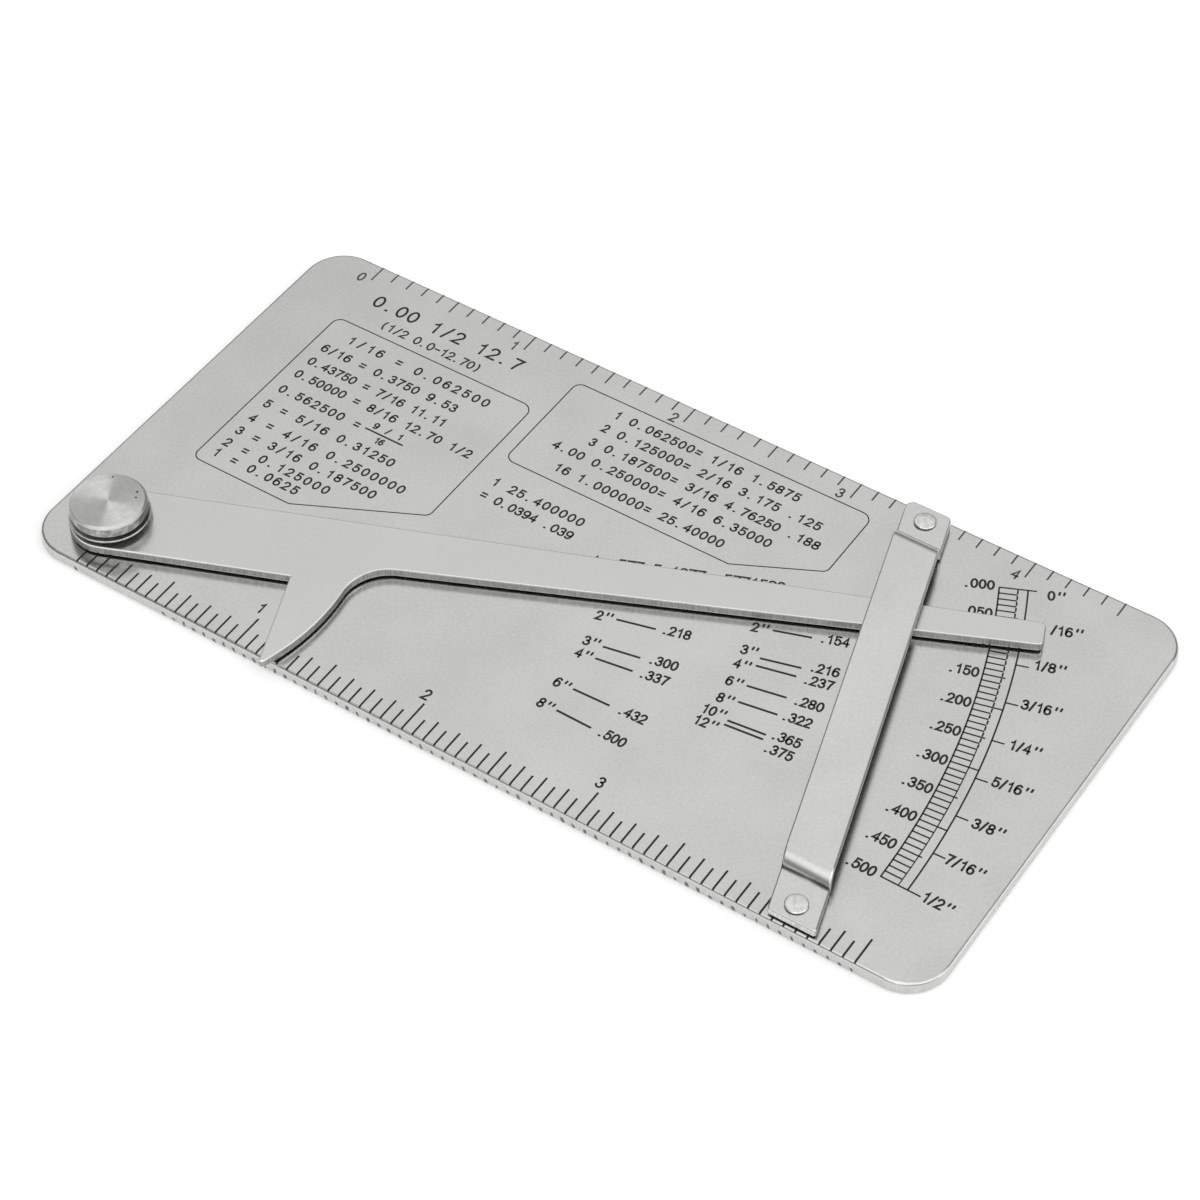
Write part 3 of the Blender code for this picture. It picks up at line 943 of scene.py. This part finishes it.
@dataclass
class Rulers:
    """The two rulers: tenths of an inch on the far edge, sixteenths on the near edge."""

    board: Board
    figures: Figures
    inch: float = 25.4
    length: float = 4.5
    tick_starts: tuple[float, ...] = (0.14, 0.22, 0.34, 0.5)
    far_ticks: tuple[Point, ...] = ((1, 2.09), (5, 2.67), (10, 3.19))
    near_ticks: tuple[Point, ...] = ((1, 2.76), (2, 3.41), (8, 4.07), (16, 4.87))
    far_figures: tuple[Point, ...] = ((-1.5, 62.6), (23.9, 62.7), (49.3, 62.8), (74.7, 62.8), (100.4, 62.6))
    near_figures: tuple[Point, ...] = ((24.6, 6.5), (50.2, 6.2), (75.6, 6.3))
    figure_height: float = 1.5

    def lengths(self, kinds: Sequence[Point]) -> tuple[np.ndarray, np.ndarray]:
        """The places of a ruler's ticks and how far each reaches in from the edge.

        Args:
            kinds: Pairs of a count and a reach: every so many ticks one reaches so far. The last
                pair's count is the ticks to an inch.

        Returns:
            The places and the reaches.
        """
        to_inch = kinds[-1][0]
        index = np.arange(round(self.length * to_inch) + 1)
        reaches = np.zeros(len(index))
        for every, reach in kinds:
            reaches[index % every == 0] = reach
        return index * self.inch / to_inch, reaches

    def _ticks(self, kinds: Sequence[Point], far: bool) -> list[np.ndarray]:
        """Straight strokes from the edge inwards, with extra points where the edge is rounded.

        Args:
            kinds: The pairs of a count and a reach.
            far: Whether they stand on the far edge.

        Returns:
            The strokes.
        """
        strokes = []
        for x, reach in zip(*self.lengths(kinds)):
            y = np.append(self.tick_starts, reach)
            strokes.append(np.stack([np.full(len(y), x), self.board.width - y if far else y], axis=1))
        return strokes

    def build(self) -> list[Marks]:
        """Draw both rulers.

        Returns:
            The marks of the far ruler and of the near ruler.
        """
        far = Marks("far_ruler_marks", self.board, 0.22).draw(self._ticks(self.far_ticks, True), blunt=True)
        near = Marks("near_ruler_marks", self.board, 0.27).draw(self._ticks(self.near_ticks, False), blunt=True)
        for marks, places, first, pen in ((far, self.far_figures, 0, 0.27), (near, self.near_figures, 1, 0.29)):
            for inch, place in enumerate(places, first):
                marks.draw(self.figures.line(str(inch), place, self.figure_height), pen)
        return [far, near]


@dataclass
class EdgeNicks:
    """Short dark nicks low on the near side face, in line with the near ruler's ticks."""

    board: Board
    rulers: Rulers
    first: int = 9
    seed: int = 7
    width: float = 0.42
    shift: float = -0.22
    proud: Point = (0.006, 0.0012)
    lows: Point = (0.26, 0.34)
    heights: Point = (0.42, 0.78)
    widths: Point = (0.7, 1.2)
    leans: Point = (-0.22, 0.0)

    def surface(self) -> Surface:
        """Build every nick as a thin upright block.

        Block i stands at the i-th tick, with its lower and upper ends drawn from a seeded spread. Its
        outer and inner sides stand proud of the side face, so that neither meets it.

        Returns:
            The surface.
        """
        draw = np.random.default_rng(self.seed)
        places, _ = self.rulers.lengths(self.rulers.near_ticks)
        places = np.concatenate([places[:1], places[self.first :]]) + self.shift
        count = len(places)
        low = draw.uniform(*self.lows, count)
        high = low + draw.uniform(*self.heights, count)
        half = self.width / 2 * draw.uniform(*self.widths, count)
        lean = draw.uniform(*self.leans, count)
        places, half, lean = (value[:, None, None, None] for value in (places, half, lean))
        cube = np.zeros((count, 2, 2, 2))
        x = places + half * np.array([-1.0, 1.0])[:, None, None] + lean * np.array([0.0, 1.0]) + cube
        y = -np.array(self.proud)[:, None] + cube
        z = np.stack([low, high], axis=1)[:, None, None, :] + cube
        shift = np.array([self.board.zero_from_left, 0.0, 0.0])
        grid = self.board.low + (np.stack([x, y, z], axis=-1) + shift) * MM
        block = np.array([(0, 4, 5, 1), (2, 3, 7, 6), (0, 1, 3, 2), (4, 6, 7, 5), (0, 2, 6, 4), (1, 5, 7, 3)])
        faces = block[None] + 8 * np.arange(count)[:, None, None]
        return Surface("side_nicks", grid.reshape(-1, 3), faces.reshape(-1, 4).tolist())


@dataclass
class DepthScale:
    """The curved depth scale: a ladder of hundredths, its figures, and the fractions beside it.

    A depth d, in inches, is read along a line at the angle start - rate * d, which runs a fixed
    distance beside the scale's centre. Lines and rungs end on circles about that centre.
    """

    board: Board
    figures: Figures
    centre: Point = (-3.0, 11.3)
    radii: tuple[float, float, float] = (113.5, 115.85, 117.1)
    start: float = 24.1
    rate: float = 49.2
    offset: float = 2.05
    full: float = 0.5
    rung: float = 0.01
    dashed: int = 27
    dash_gap: float = 0.16
    rung_back: float = 0.06
    fifth_reach: float = 0.45
    end_reaches: Point = (1.1, 1.75)
    fraction_reach: float = 1.6
    arc_step: float = 0.0125
    pen: float = 0.22
    fine_pen: float = 0.15
    figure_pen: float = 0.30
    figure_height: float = 1.38

    def at(self, depth: float, radius: float) -> Point:
        """The point where a depth's line crosses a circle.

        Args:
            depth: The depth in inches.
            radius: The circle's radius.

        Returns:
            The point.
        """
        angle = math.radians(self.start - self.rate * depth)
        along = math.sqrt(radius**2 - self.offset**2)
        return (
            self.centre[0] + along * math.cos(angle) - self.offset * math.sin(angle),
            self.centre[1] + along * math.sin(angle) + self.offset * math.cos(angle),
        )

    def arc_line(self, radius: float, first: float, last: float) -> np.ndarray:
        """Part of a circle of the scale, between two depths."""
        steps = max(2, math.ceil((last - first) / self.arc_step) + 1)
        return np.array([self.at(depth, radius) for depth in np.linspace(first, last, steps)])

    def build(self) -> list[Marks]:
        """Draw the scale.

        Returns:
            The marks of the ladder and of its figures.
        """
        left, middle, right = self.radii
        ladder = Marks("depth_scale_lines", self.board, self.pen)
        ladder.draw([self.arc_line(left, 0.0, self.full), self.arc_line(right, 0.0, self.full)], blunt=True)
        count = round(self.full / self.rung)
        for index in range(count + 1):
            end = middle
            if index in (0, count):
                end = right + self.end_reaches[index > 0]
            elif index % 10 == 0:
                end = right
            elif index % 5 == 0:
                end = middle + self.fifth_reach
            ladder.draw([self._rung(index * self.rung, left - self.rung_back, end)], blunt=True)
        for index in range(count):
            dashed = index < self.dashed
            inset = self.dash_gap * self.rung if dashed else 0.0
            span = (index * self.rung + inset, (index + 1) * self.rung - inset)
            ladder.draw([self.arc_line(middle, *span)], self.pen if dashed else self.fine_pen, blunt=True)
        for sixteenth in range(1, 8):
            ladder.draw([self._rung(sixteenth / 16, right, right + self.fraction_reach)], blunt=True)
        return [ladder, self._labels()]

    def _rung(self, depth: float, first: float, last: float) -> np.ndarray:
        """A depth's line from one circle to another."""
        return np.array([self.at(depth, first), self.at(depth, last)])

    def _labels(self) -> Marks:
        """Draw the figures, each turned with its mark.

        Returns:
            The marks.
        """
        hundredths = {
            0.0: (97.45, 58.72), 0.05: (99.5, 54.5), 0.1: (101.4, 50.0), 0.15: (102.9, 45.28),
            0.2: (104.4, 40.62), 0.25: (105.6, 36.0), 0.3: (106.5, 31.3), 0.35: (107.2, 26.6),
            0.4: (107.7, 22.0), 0.45: (107.8, 17.2), 0.5: (107.9, 12.5),
        }
        fractions = {
            '0"': (106.48, 62.02), '1 /16"': (109.63, 57.17), '1/8"': (111.5, 51.2),
            '3/16"': (113.78, 44.88), '1/4"': (115.2, 38.3), '5/16"': (116.8, 32.2),
            '3/8"': (117.5, 25.3), '7/16"': (118.0, 18.9), '1/2"': (118.0, 12.6),
        }
        marks = Marks("depth_scale_figures", self.board, self.figure_pen)
        for depth, anchor in hundredths.items():
            text = f"{depth:.3f}"[1:]
            marks.draw(self.figures.line(text, anchor, self.figure_height, self.start - self.rate * depth))
        for index, (text, anchor) in enumerate(fractions.items()):
            turn = self.start - self.rate * index / 16
            marks.draw(self.figures.line(text, anchor, self.figure_height, turn))
        return marks


@dataclass(frozen=True)
class WallRow:
    """A row of a table: a size, a rule at the angle of its depth, and the wall.

    Crowded figures stand a little above or below their rule.
    """

    size: str
    wall: str
    first: Point
    last: Point
    size_rise: float = 0.0
    wall_rise: float = 0.2
    wall_gap: float = 1.2


@dataclass
class WallTables:
    """The two tables of sizes and walls."""

    board: Board
    figures: Figures
    pen: float = 0.29
    rule_pen: float = 0.31
    height: float = 1.34
    size_gap: float = 0.6
    left_rows: tuple[WallRow, ...] = (
        WallRow('2"', ".218", (62.7, 29.0), (67.7, 30.3), 0.0, 0.3, 1.1),
        WallRow('3"', ".300", (63.8, 24.35), (68.7, 25.3), 0.2, 0.35, 1.4),
        WallRow('4"', ".337", (64.1, 22.25), (69.1, 23.0), 0.0, 0.2, 1.25),
        WallRow('6"', ".432", (64.6, 16.65), (69.8, 16.85), 0.0, 0.2, 1.6),
        WallRow('8"', ".500", (64.8, 12.75), (69.9, 12.7), 0.0, 0.2, 1.4),
    )
    right_rows: tuple[WallRow, ...] = (
        WallRow('2"', ".154", (79.9, 38.0), (84.6, 39.6), 0.0, 0.25, 1.3),
        WallRow('3"', ".216", (81.0, 33.25), (86.1, 34.65), 0.8, 0.6, 1.3),
        WallRow('4"', ".237", (81.2, 31.95), (86.3, 33.15), -0.4, 0.0, 1.3),
        WallRow('6"', ".280", (82.0, 28.6), (87.1, 29.6), 0.0, 0.1, 1.3),
        WallRow('8"', ".322", (82.5, 25.85), (87.6, 26.7), -0.2, 0.25, 0.9),
        WallRow('10"', ".365", (83.0, 22.65), (88.1, 23.25), 0.55, 0.5, 0.95),
        WallRow('12"', ".375", (83.0, 21.9), (88.2, 22.45), -0.75, -0.9, 0.95),
    )

    def build(self) -> list[Marks]:
        """Draw both tables.

        Returns:
            The marks of the left and of the right table.
        """
        made = []
        for name, rows in (("left_table_marks", self.left_rows), ("right_table_marks", self.right_rows)):
            marks = Marks(name, self.board, self.pen)
            for row in rows:
                first, last = np.array(row.first), np.array(row.last)
                along = (last - first) / np.linalg.norm(last - first)
                up = np.array([-along[1], along[0]])
                turn = math.degrees(math.atan2(along[1], along[0]))
                marks.draw([[first, last]], self.rule_pen, blunt=True)
                before = tuple(first - along * self.size_gap + up * row.size_rise)
                after = tuple(last + along * row.wall_gap + up * row.wall_rise)
                marks.draw(self.figures.line(row.size, before, self.height, turn, Align.RIGHT))
                marks.draw(self.figures.line(row.wall, after, self.height, turn, Align.LEFT))
            made.append(marks)
        return made


@dataclass
class NumberBlocks:
    """Blocks of plain numbers: a range and sixteenths of an inch with their decimals."""

    board: Board
    figures: Figures
    pen: float = 0.27
    frame_pen: float = 0.16
    height: float = 1.27

    def heading(self) -> Marks:
        """The range of the scale and, smaller, in inches and millimetres.

        Returns:
            The marks.
        """
        marks = Marks("range_figures", self.board)
        marks.draw(self.figures.row("0.00 1/2 12.7", 3.0, 26.9, 59.8, 1.95), 0.33)
        return marks.draw(self.figures.row("(1/2 0.0-12.70)", 6.8, 22.4, 56.4, 1.3), 0.25)

    def _framed(self, name: str, corners: Sequence[Point], radii: Sequence[float]) -> Marks:
        """Start a list with the rounded frame around it."""
        return Marks(name, self.board, self.pen).draw([rounded(corners, radii)], self.frame_pen)

    def left_block(self) -> Marks:
        """The left framed list.

        Returns:
            The marks.
        """
        corners = [(0.62, 54.3), (0.62, 22.75), (16.4, 22.75), (32.8, 30.85), (32.8, 54.3)]
        marks = self._framed("left_list_figures", corners, (1.3, 1.2, 0.3, 1.1, 1.6))
        marks.draw(self.figures.row("1/16 = 0.062500", 4.7, 27.4, 51.6, 1.3))
        rows = (
            ("6/16 = 0.3750 9.53", 48.5, 24.4),
            ("0.43750 = 7/16 11.11", 45.5, 24.7),
            ("0.50000 = 8/16 12.70 1/2", 42.6, 30.9),
            ("0.562500 =", 39.15, 15.5),
            ("5 = 5/16 0.31250", 35.85, 23.4),
            ("4 = 4/16 0.2500000", 32.65, 27.4),
            ("3 = 3/16 0.187500", 29.9, 24.8),
            ("2 = 0.125000", 27.3, 19.3),
            ("1 = 0.0625", 25.1, 16.0),
        )
        for text, y, right in rows:
            marks.draw(self.figures.row(text, 2.55, right, y, self.height))
        marks.draw([[(16.4, 39.2), (22.5, 39.2)]], 0.26, blunt=True)
        marks.draw(self.figures.row("9 / 1", 17.2, 21.6, 40.25, 0.95), 0.24)
        return marks.draw(self.figures.line("16", (19.5, 38.15), 0.95), 0.24)

    def right_block(self) -> Marks:
        """The right framed list, and the two short lines below it.

        Returns:
            The marks.
        """
        corners = [(35.0, 61.4), (35.0, 44.5), (69.3, 44.5), (80.4, 50.1), (80.4, 61.4)]
        marks = self._framed("right_list_figures", corners, (1.2, 1.3, 0.3, 1.1, 1.5))
        rows = (
            ("1", "1/16 1.5875", 59.1, 42.6, 70.8),
            ("2", "2/16 3.175 .125", 56.2, 42.4, 75.7),
            ("3", "3/16 4.76250 .188", 53.2, 42.4, 77.3),
            ("4.00", "4/16 6.35000", 50.25, 38.9, 71.9),
            ("16", "25.40000", 46.95, 41.4, 66.9),
        )
        decimals = ("0.062500=", "0.125000=", "0.187500=", "0.250000=", "1.000000=")
        for (count, text, y, left, right), decimal in zip(rows, decimals):
            marks.draw(self.figures.row(decimal, 45.0, 55.9, y, self.height))
            marks.draw(self.figures.row(text, 57.6, right, y, self.height))
            if len(count) == 1:
                marks.draw(self.figures.line(count, (43.3, y), self.height, align=Align.RIGHT))
            else:
                marks.draw(self.figures.row(count, left, 43.4, y, self.height))
        marks.draw(self.figures.row("1 25.400000", 36.2, 50.0, 40.4, self.height))
        return marks.draw(self.figures.row("= 0.0394 .039", 36.2, 50.1, 37.7, self.height))

    def covered_row(self) -> Marks:
        """The row that the lever half covers.

        Returns:
            The marks.
        """
        marks = Marks("covered_figures", self.board, self.pen)
        text = "1 .577 5.1277 .5771523"
        return marks.draw(self.figures.row(text, 54.6, 79.1, 35.75, 1.4, 22.0))


# Pieces of the gauge


class Gauge:
    """The gauge's pieces, dressed one by one."""

    def __init__(self, frame: dict) -> None:
        """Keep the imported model's nodes and the pivot's place."""
        self.nodes = frame["nodes"]
        self.pivot = tuple(frame["joints"][0]["pos_m"][:2])

    def settle(self, piece: bpy.types.Object, body: Body, finish: bpy.types.Material) -> None:
        """Give a new piece its body and its finish.

        Args:
            piece: The piece.
            body: The body that it moves with.
            finish: The material.
        """
        piece.data.materials.clear()
        piece.data.materials.append(finish)
        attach(piece, body.value)
        LOG.info("%s: %d faces on %s", piece.name, len(piece.data.polygons), body.value)

    def stand_in(self, surface: Surface, node: str, body: Body, slot: Slot, finish: Finish) -> None:
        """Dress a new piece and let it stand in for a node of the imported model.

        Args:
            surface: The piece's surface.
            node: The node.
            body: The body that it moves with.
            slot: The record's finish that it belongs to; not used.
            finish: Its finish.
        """
        piece = surface.object()
        self.settle(piece, body, finish.material())
        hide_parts(node)

    def skin(self, node: str, body: Body, slot: Slot, finish: Finish) -> None:
        """Stand a smooth-shaded skin in for a node, and dress the node alike.

        Args:
            node: The node.
            body: The body that it moves with.
            slot: The record's finish that it belongs to.
            finish: Its finish.
        """
        self.stand_in(Surface.skin(f"{node}_skin", self.nodes[node]), node, body, slot, finish)
        for place in self.nodes[node].material_slots:
            place.material = bpy.data.materials[finish.name]


@dataclass
class TurnedPieces:
    """The stud, the dished washer and the two rivets, as turned surfaces.

    Their tails spread below the flare into the countersinks of the plate's back.
    """

    gauge: Gauge
    steps: int = 128
    rivet_steps: int = 72
    corner: float = 0.00010
    corner_steps: int = 3
    flare: float = 0.0009
    head_depth: float = 0.00172
    chamfer: float = 0.00030
    under_chamfer: float = 0.00015
    stud_shank: float = 0.0020
    stud_tail: float = 0.0028
    washer_hole: float = 0.0021
    washer_thickness: float = 0.00030
    rivet_head: float = 0.00145
    rivet_depth: float = 0.00035
    rivet_corner: float = 0.00018
    rivet_shank: float = 0.0009
    rivet_tail: float = 0.0014
    crown: float = 0.00012
    crown_rows: int = 8

    def _eased(self, profile: np.ndarray, closed: bool = False) -> np.ndarray:
        """A profile with its sharp corners rounded.

        A corner gives way to a short curve from a point before it to a point after it, with the corner
        as its handle: (1 - t)² a + 2 t (1 - t) c + t² b.

        Args:
            profile: The (radius, height) rows.
            closed: Whether the profile is a ring.

        Returns:
            The finer rows.
        """
        before, after = np.roll(profile, 1, 0), np.roll(profile, -1, 0)
        rows = []
        share = np.linspace(0.0, 1.0, self.corner_steps + 1)[:, None]
        for index, (last, corner, following) in enumerate(zip(before, profile, after)):
            if not closed and index in (0, len(profile) - 1):
                rows.append(corner[None])
                continue
            back, ahead = last - corner, following - corner
            reach_back = min(self.corner, np.linalg.norm(back) / 2)
            reach_ahead = min(self.corner, np.linalg.norm(ahead) / 2)
            a = corner + back / np.linalg.norm(back) * reach_back
            b = corner + ahead / np.linalg.norm(ahead) * reach_ahead
            rows.append((1 - share) ** 2 * a + 2 * share * (1 - share) * corner + share**2 * b)
        return np.vstack(rows)

    def _pin(self, head: Sequence[Any], seat: float, shank: float, tail: float, floor: float) -> np.ndarray:
        """The eased profile of a pin: its head, its shank and its spread tail.

        Args:
            head: The (radius, height) rows of the head.
            seat: The height of the head's underside.
            shank: The shank's radius.
            tail: The tail's radius.
            floor: The height of the tail's end.

        Returns:
            The rows.
        """
        rest = [(shank, seat), (shank, self.flare), (tail, floor), (0.0, floor)]
        return self._eased(np.vstack([head, rest]))

    def stud(self) -> None:
        """The pivot stud, turned, with a faced head whose rim is chamfered."""
        low, high = (np.array(corner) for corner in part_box("pivot_stud"))
        radius, top = (high[0] - low[0]) / 2, high[2]
        under = top - self.head_depth
        head = [
            (0.0, top),
            (radius - self.chamfer, top),
            (radius, top - self.chamfer),
            (radius, under + self.under_chamfer),
            (radius - self.under_chamfer, under),
        ]
        profile = self._pin(head, under, self.stud_shank, self.stud_tail, low[2])
        surface = Surface.turned("stud_turning", profile, self.gauge.pivot, self.steps)
        finish = TurnedSteel(
            "turned_stud_steel",
            (0.76, 0.76, 0.745),
            0.40,
            self.gauge.pivot,
            depth=0.0000035,
            stretch=1.0,
            lay=0.19,
            pits=((0.00217, 0.00322, 0.00020), (0.00266, 0.00236, 0.00018), (-0.00216, 0.00359, 0.00017)),
        )
        self.gauge.stand_in(surface, "pivot_stud", Body.PLATE, Slot.STUD, finish)

    def washer(self) -> None:
        """The dished washer between the lever and the stud's head."""
        low, high = (np.array(corner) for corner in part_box("spring_washer"))
        rim, hole, thick = (high[0] - low[0]) / 2, self.washer_hole, self.washer_thickness
        profile = np.array([(hole, low[2] + thick), (rim, high[2]), (rim, high[2] - thick), (hole, low[2])])
        eased = self._eased(profile, closed=True)
        surface = Surface.turned("washer_turning", eased, self.gauge.pivot, self.steps, closed=True)
        finish = TurnedSteel("spring_washer_steel", (0.72, 0.72, 0.71), 0.22, self.gauge.pivot)
        self.gauge.stand_in(surface, "spring_washer", Body.PLATE, Slot.WASHER, finish)

    def rivet(self, node: str) -> None:
        """A rivet with a low crown, closed with a hammer.

        The crown falls away from its top by its height times (r / head radius)².

        Args:
            node: The rivet's node.
        """
        low, high = (np.array(corner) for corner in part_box(node))
        radius, seat = self.rivet_head, high[2] - self.rivet_depth
        out = np.linspace(0.0, radius - self.crown, self.crown_rows)
        dome = np.stack([out, high[2] - self.crown * (out / radius) ** 2], axis=1)
        head = [*dome, (radius, high[2] - self.rivet_corner), (radius, seat)]
        profile = self._pin(head, seat, self.rivet_shank, self.rivet_tail, low[2])
        surface = Surface.turned(f"{node}_turning", profile, tuple((low[:2] + high[:2]) / 2), self.rivet_steps)
        finish = PeenedSteel(f"{node}_peened_steel", (0.72, 0.72, 0.71), 0.24)
        self.gauge.stand_in(surface, node, Body.PLATE, Slot.RIVET, finish)


# Studio


@dataclass
class Studio:
    """The camera, the pale floor and the soft light around the gauge."""

    camera_place: tuple[float, float, float] = (0.162075, -0.232649, 0.309571)
    camera_turn: tuple[float, float, float] = (42.3646, 0.9081, 33.8261)
    lens: float = 100.27
    sensor: float = 36.0
    shift_x: float = -0.0005
    floor_size: float = 30.0
    floor_height: float = -0.00005
    floor_tone: float = 0.92
    lift: float = 0.20
    sky: float = 0.286
    sky_colour: Colour = (1.0, 1.0, 0.995)
    boxes: tuple[Zone, ...] = (
        (-72.2, 51.1, 0.748, 0.905),
        (-10.0, 46.0, 0.80, 0.93),
        (22.0, 14.0, 0.913, 0.956),
    )
    box_level: float = 1.223
    over_back: Zone = (121.7, 67.0, 0.69, 0.969)
    over_back_level: float = 0.695

    def camera(self) -> None:
        """Stand the camera at the photograph's viewpoint."""
        data = bpy.data.cameras.new("camera")
        data.lens, data.sensor_width, data.sensor_fit = self.lens, self.sensor, "HORIZONTAL"
        data.shift_x = self.shift_x
        data.clip_start, data.clip_end = 0.01, 50.0
        camera = bpy.data.objects.new("camera", data)
        camera.location = self.camera_place
        camera.rotation_euler = tuple(math.radians(angle) for angle in self.camera_turn)
        bpy.context.scene.collection.objects.link(camera)
        bpy.context.scene.camera = camera
        LOG.info("camera: %.0f mm lens", self.lens)

    def floor(self) -> None:
        """Lay a pale floor at the height of the plate's back."""
        half, height = self.floor_size / 2, self.floor_height
        corners = [(-half, -half, height), (half, -half, height), (half, half, height), (-half, half, height)]
        floor = Surface("floor", np.array(corners), [(0, 1, 2, 3)]).object()
        material = bpy.data.materials.new("pale_floor")
        material.use_nodes = True
        bench = NodeBench(material.node_tree)
        matt = bench.node("ShaderNodeBsdfDiffuse", None, {"Color": (self.floor_tone,) * 3})
        path = bench.node("ShaderNodeLightPath")
        seen = sum(bench.output(path, f"Is {ray} Ray") for ray in ("Camera", "Glossy", "Transmission"))
        glow = bench.node("ShaderNodeEmission", None, {"Color": (1.0, 1.0, 1.0), "Strength": seen * self.lift})
        both = bench.node("ShaderNodeAddShader", None, {0: bench.output(matt, 0), 1: bench.output(glow, 0)})
        bench.node("ShaderNodeOutputMaterial", None, {"Surface": bench.output(both, 0)})
        floor.data.materials.append(material)

    def sky_light(self) -> None:
        """Surround the gauge with a pale studio.

        Two soft boxes stand high behind the camera and on its right, and a small panel stands low at
        the back right. Where they meet, 1 - (1 - a)(1 - b) keeps the level of one. A wide pale box
        hangs over the back. The rest stays dim.
        """
        world = bpy.data.worlds.new("studio")
        world.use_nodes = True
        bench = NodeBench(world.node_tree)
        boxes = 1.0 - math.prod(1.0 - self._share(bench, zone) for zone in self.boxes)
        level = self.sky + boxes * self.box_level + self._share(bench, self.over_back) * self.over_back_level
        light = bench.node("ShaderNodeBackground", None, {"Color": self.sky_colour, "Strength": level})
        bench.node("ShaderNodeOutputWorld", None, {"Surface": bench.output(light, 0)})
        bpy.context.scene.world = world

    @staticmethod
    def _share(bench: NodeBench, zone: Zone) -> Signal:
        """How far the direction looked in lies in a zone, an eased ramp of the cosine to its middle.

        Args:
            bench: The bench of the world's tree.
            zone: The middle's azimuth and elevation in degrees, and the cosines at the rim and inside.

        Returns:
            The share, from 0 to 1.
        """
        azimuth, elevation, rim, inside = zone
        around, up = math.radians(azimuth), math.radians(elevation)
        middle = (math.cos(up) * math.cos(around), math.cos(up) * math.sin(around), math.sin(up))
        direction = bench.output(bench.node("ShaderNodeTexCoord"), "Generated")
        dot = bench.node("ShaderNodeVectorMath", {"operation": "DOT_PRODUCT"}, {0: direction, 1: middle})
        return bench.output(dot, "Value").ramp(rim, inside)


def dress(gauge: Gauge) -> None:
    """Give every solid its finish.

    Args:
        gauge: The gauge.
    """
    bright = (0.65, 0.648, 0.64)
    lever_turn, strap_turn = math.radians(21.7), math.radians(106.65)
    plate = SatinSteel("plate_satin_steel", roughness=0.20, brushed=0.85, edge_spread=0.08, mottle=0.09)
    # The lever's arris carries a painted highlight.
    lever = SatinSteel("lever_satin_steel", bright, 0.27, lever_turn, edge_tone=0.6, arris=1.0)
    # The strap's two creases carry painted shade.
    strap = SatinSteel("strap_satin_steel", bright, 0.22, strap_turn, mottle=0.08, crease=0.02662)
    gauge.skin("base_plate", Body.PLATE, Slot.PLATE, plate)
    gauge.skin("depth_lever", Body.LEVER, Slot.LEVER, lever)
    gauge.skin("guide_strap", Body.PLATE, Slot.STRAP, strap)
    turned = TurnedPieces(gauge)
    turned.stud()
    turned.washer()
    for node in ("near_rivet", "far_rivet"):
        turned.rivet(node)


def mark(gauge: Gauge) -> None:
    """Lay every mark on the plate.

    Args:
        gauge: The gauge.
    """
    low, high = (np.array(corner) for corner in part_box("base_plate"))
    board, figures = Board(low, high), Figures()
    rulers = Rulers(board, figures)
    blocks = NumberBlocks(board, figures)
    pale = EtchedInk("pale_etch", (0.06, 0.06, 0.058), 0.55).material()
    dark = EtchedInk("dark_etch", (0.018, 0.018, 0.0175), 0.55).material()
    far, near = rulers.build()
    gauge.settle(far.surface().object(), Body.PLATE, pale)
    groups = [near, *DepthScale(board, figures).build(), *WallTables(board, figures).build()]
    groups += [blocks.heading(), blocks.left_block(), blocks.right_block(), blocks.covered_row()]
    for marks in groups:
        gauge.settle(marks.surface().object(), Body.PLATE, dark)
    # Real wear: paler ink of the nicks on the side face.
    worn = EtchedInk("worn_etch", (0.16, 0.16, 0.155), 0.5).material()
    gauge.settle(EdgeNicks(board, rulers).surface().object(), Body.PLATE, worn)


def main() -> None:
    """Build the dress of the gauge."""
    logging.basicConfig(level=logging.INFO, format="%(name)s: %(message)s")
    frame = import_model()
    gauge = Gauge(frame)
    dress(gauge)
    mark(gauge)
    studio = Studio()
    studio.camera()
    studio.floor()
    studio.sky_light()
    bpy.context.scene.view_settings.view_transform = "Standard"


if __name__ == "__main__":
    main()
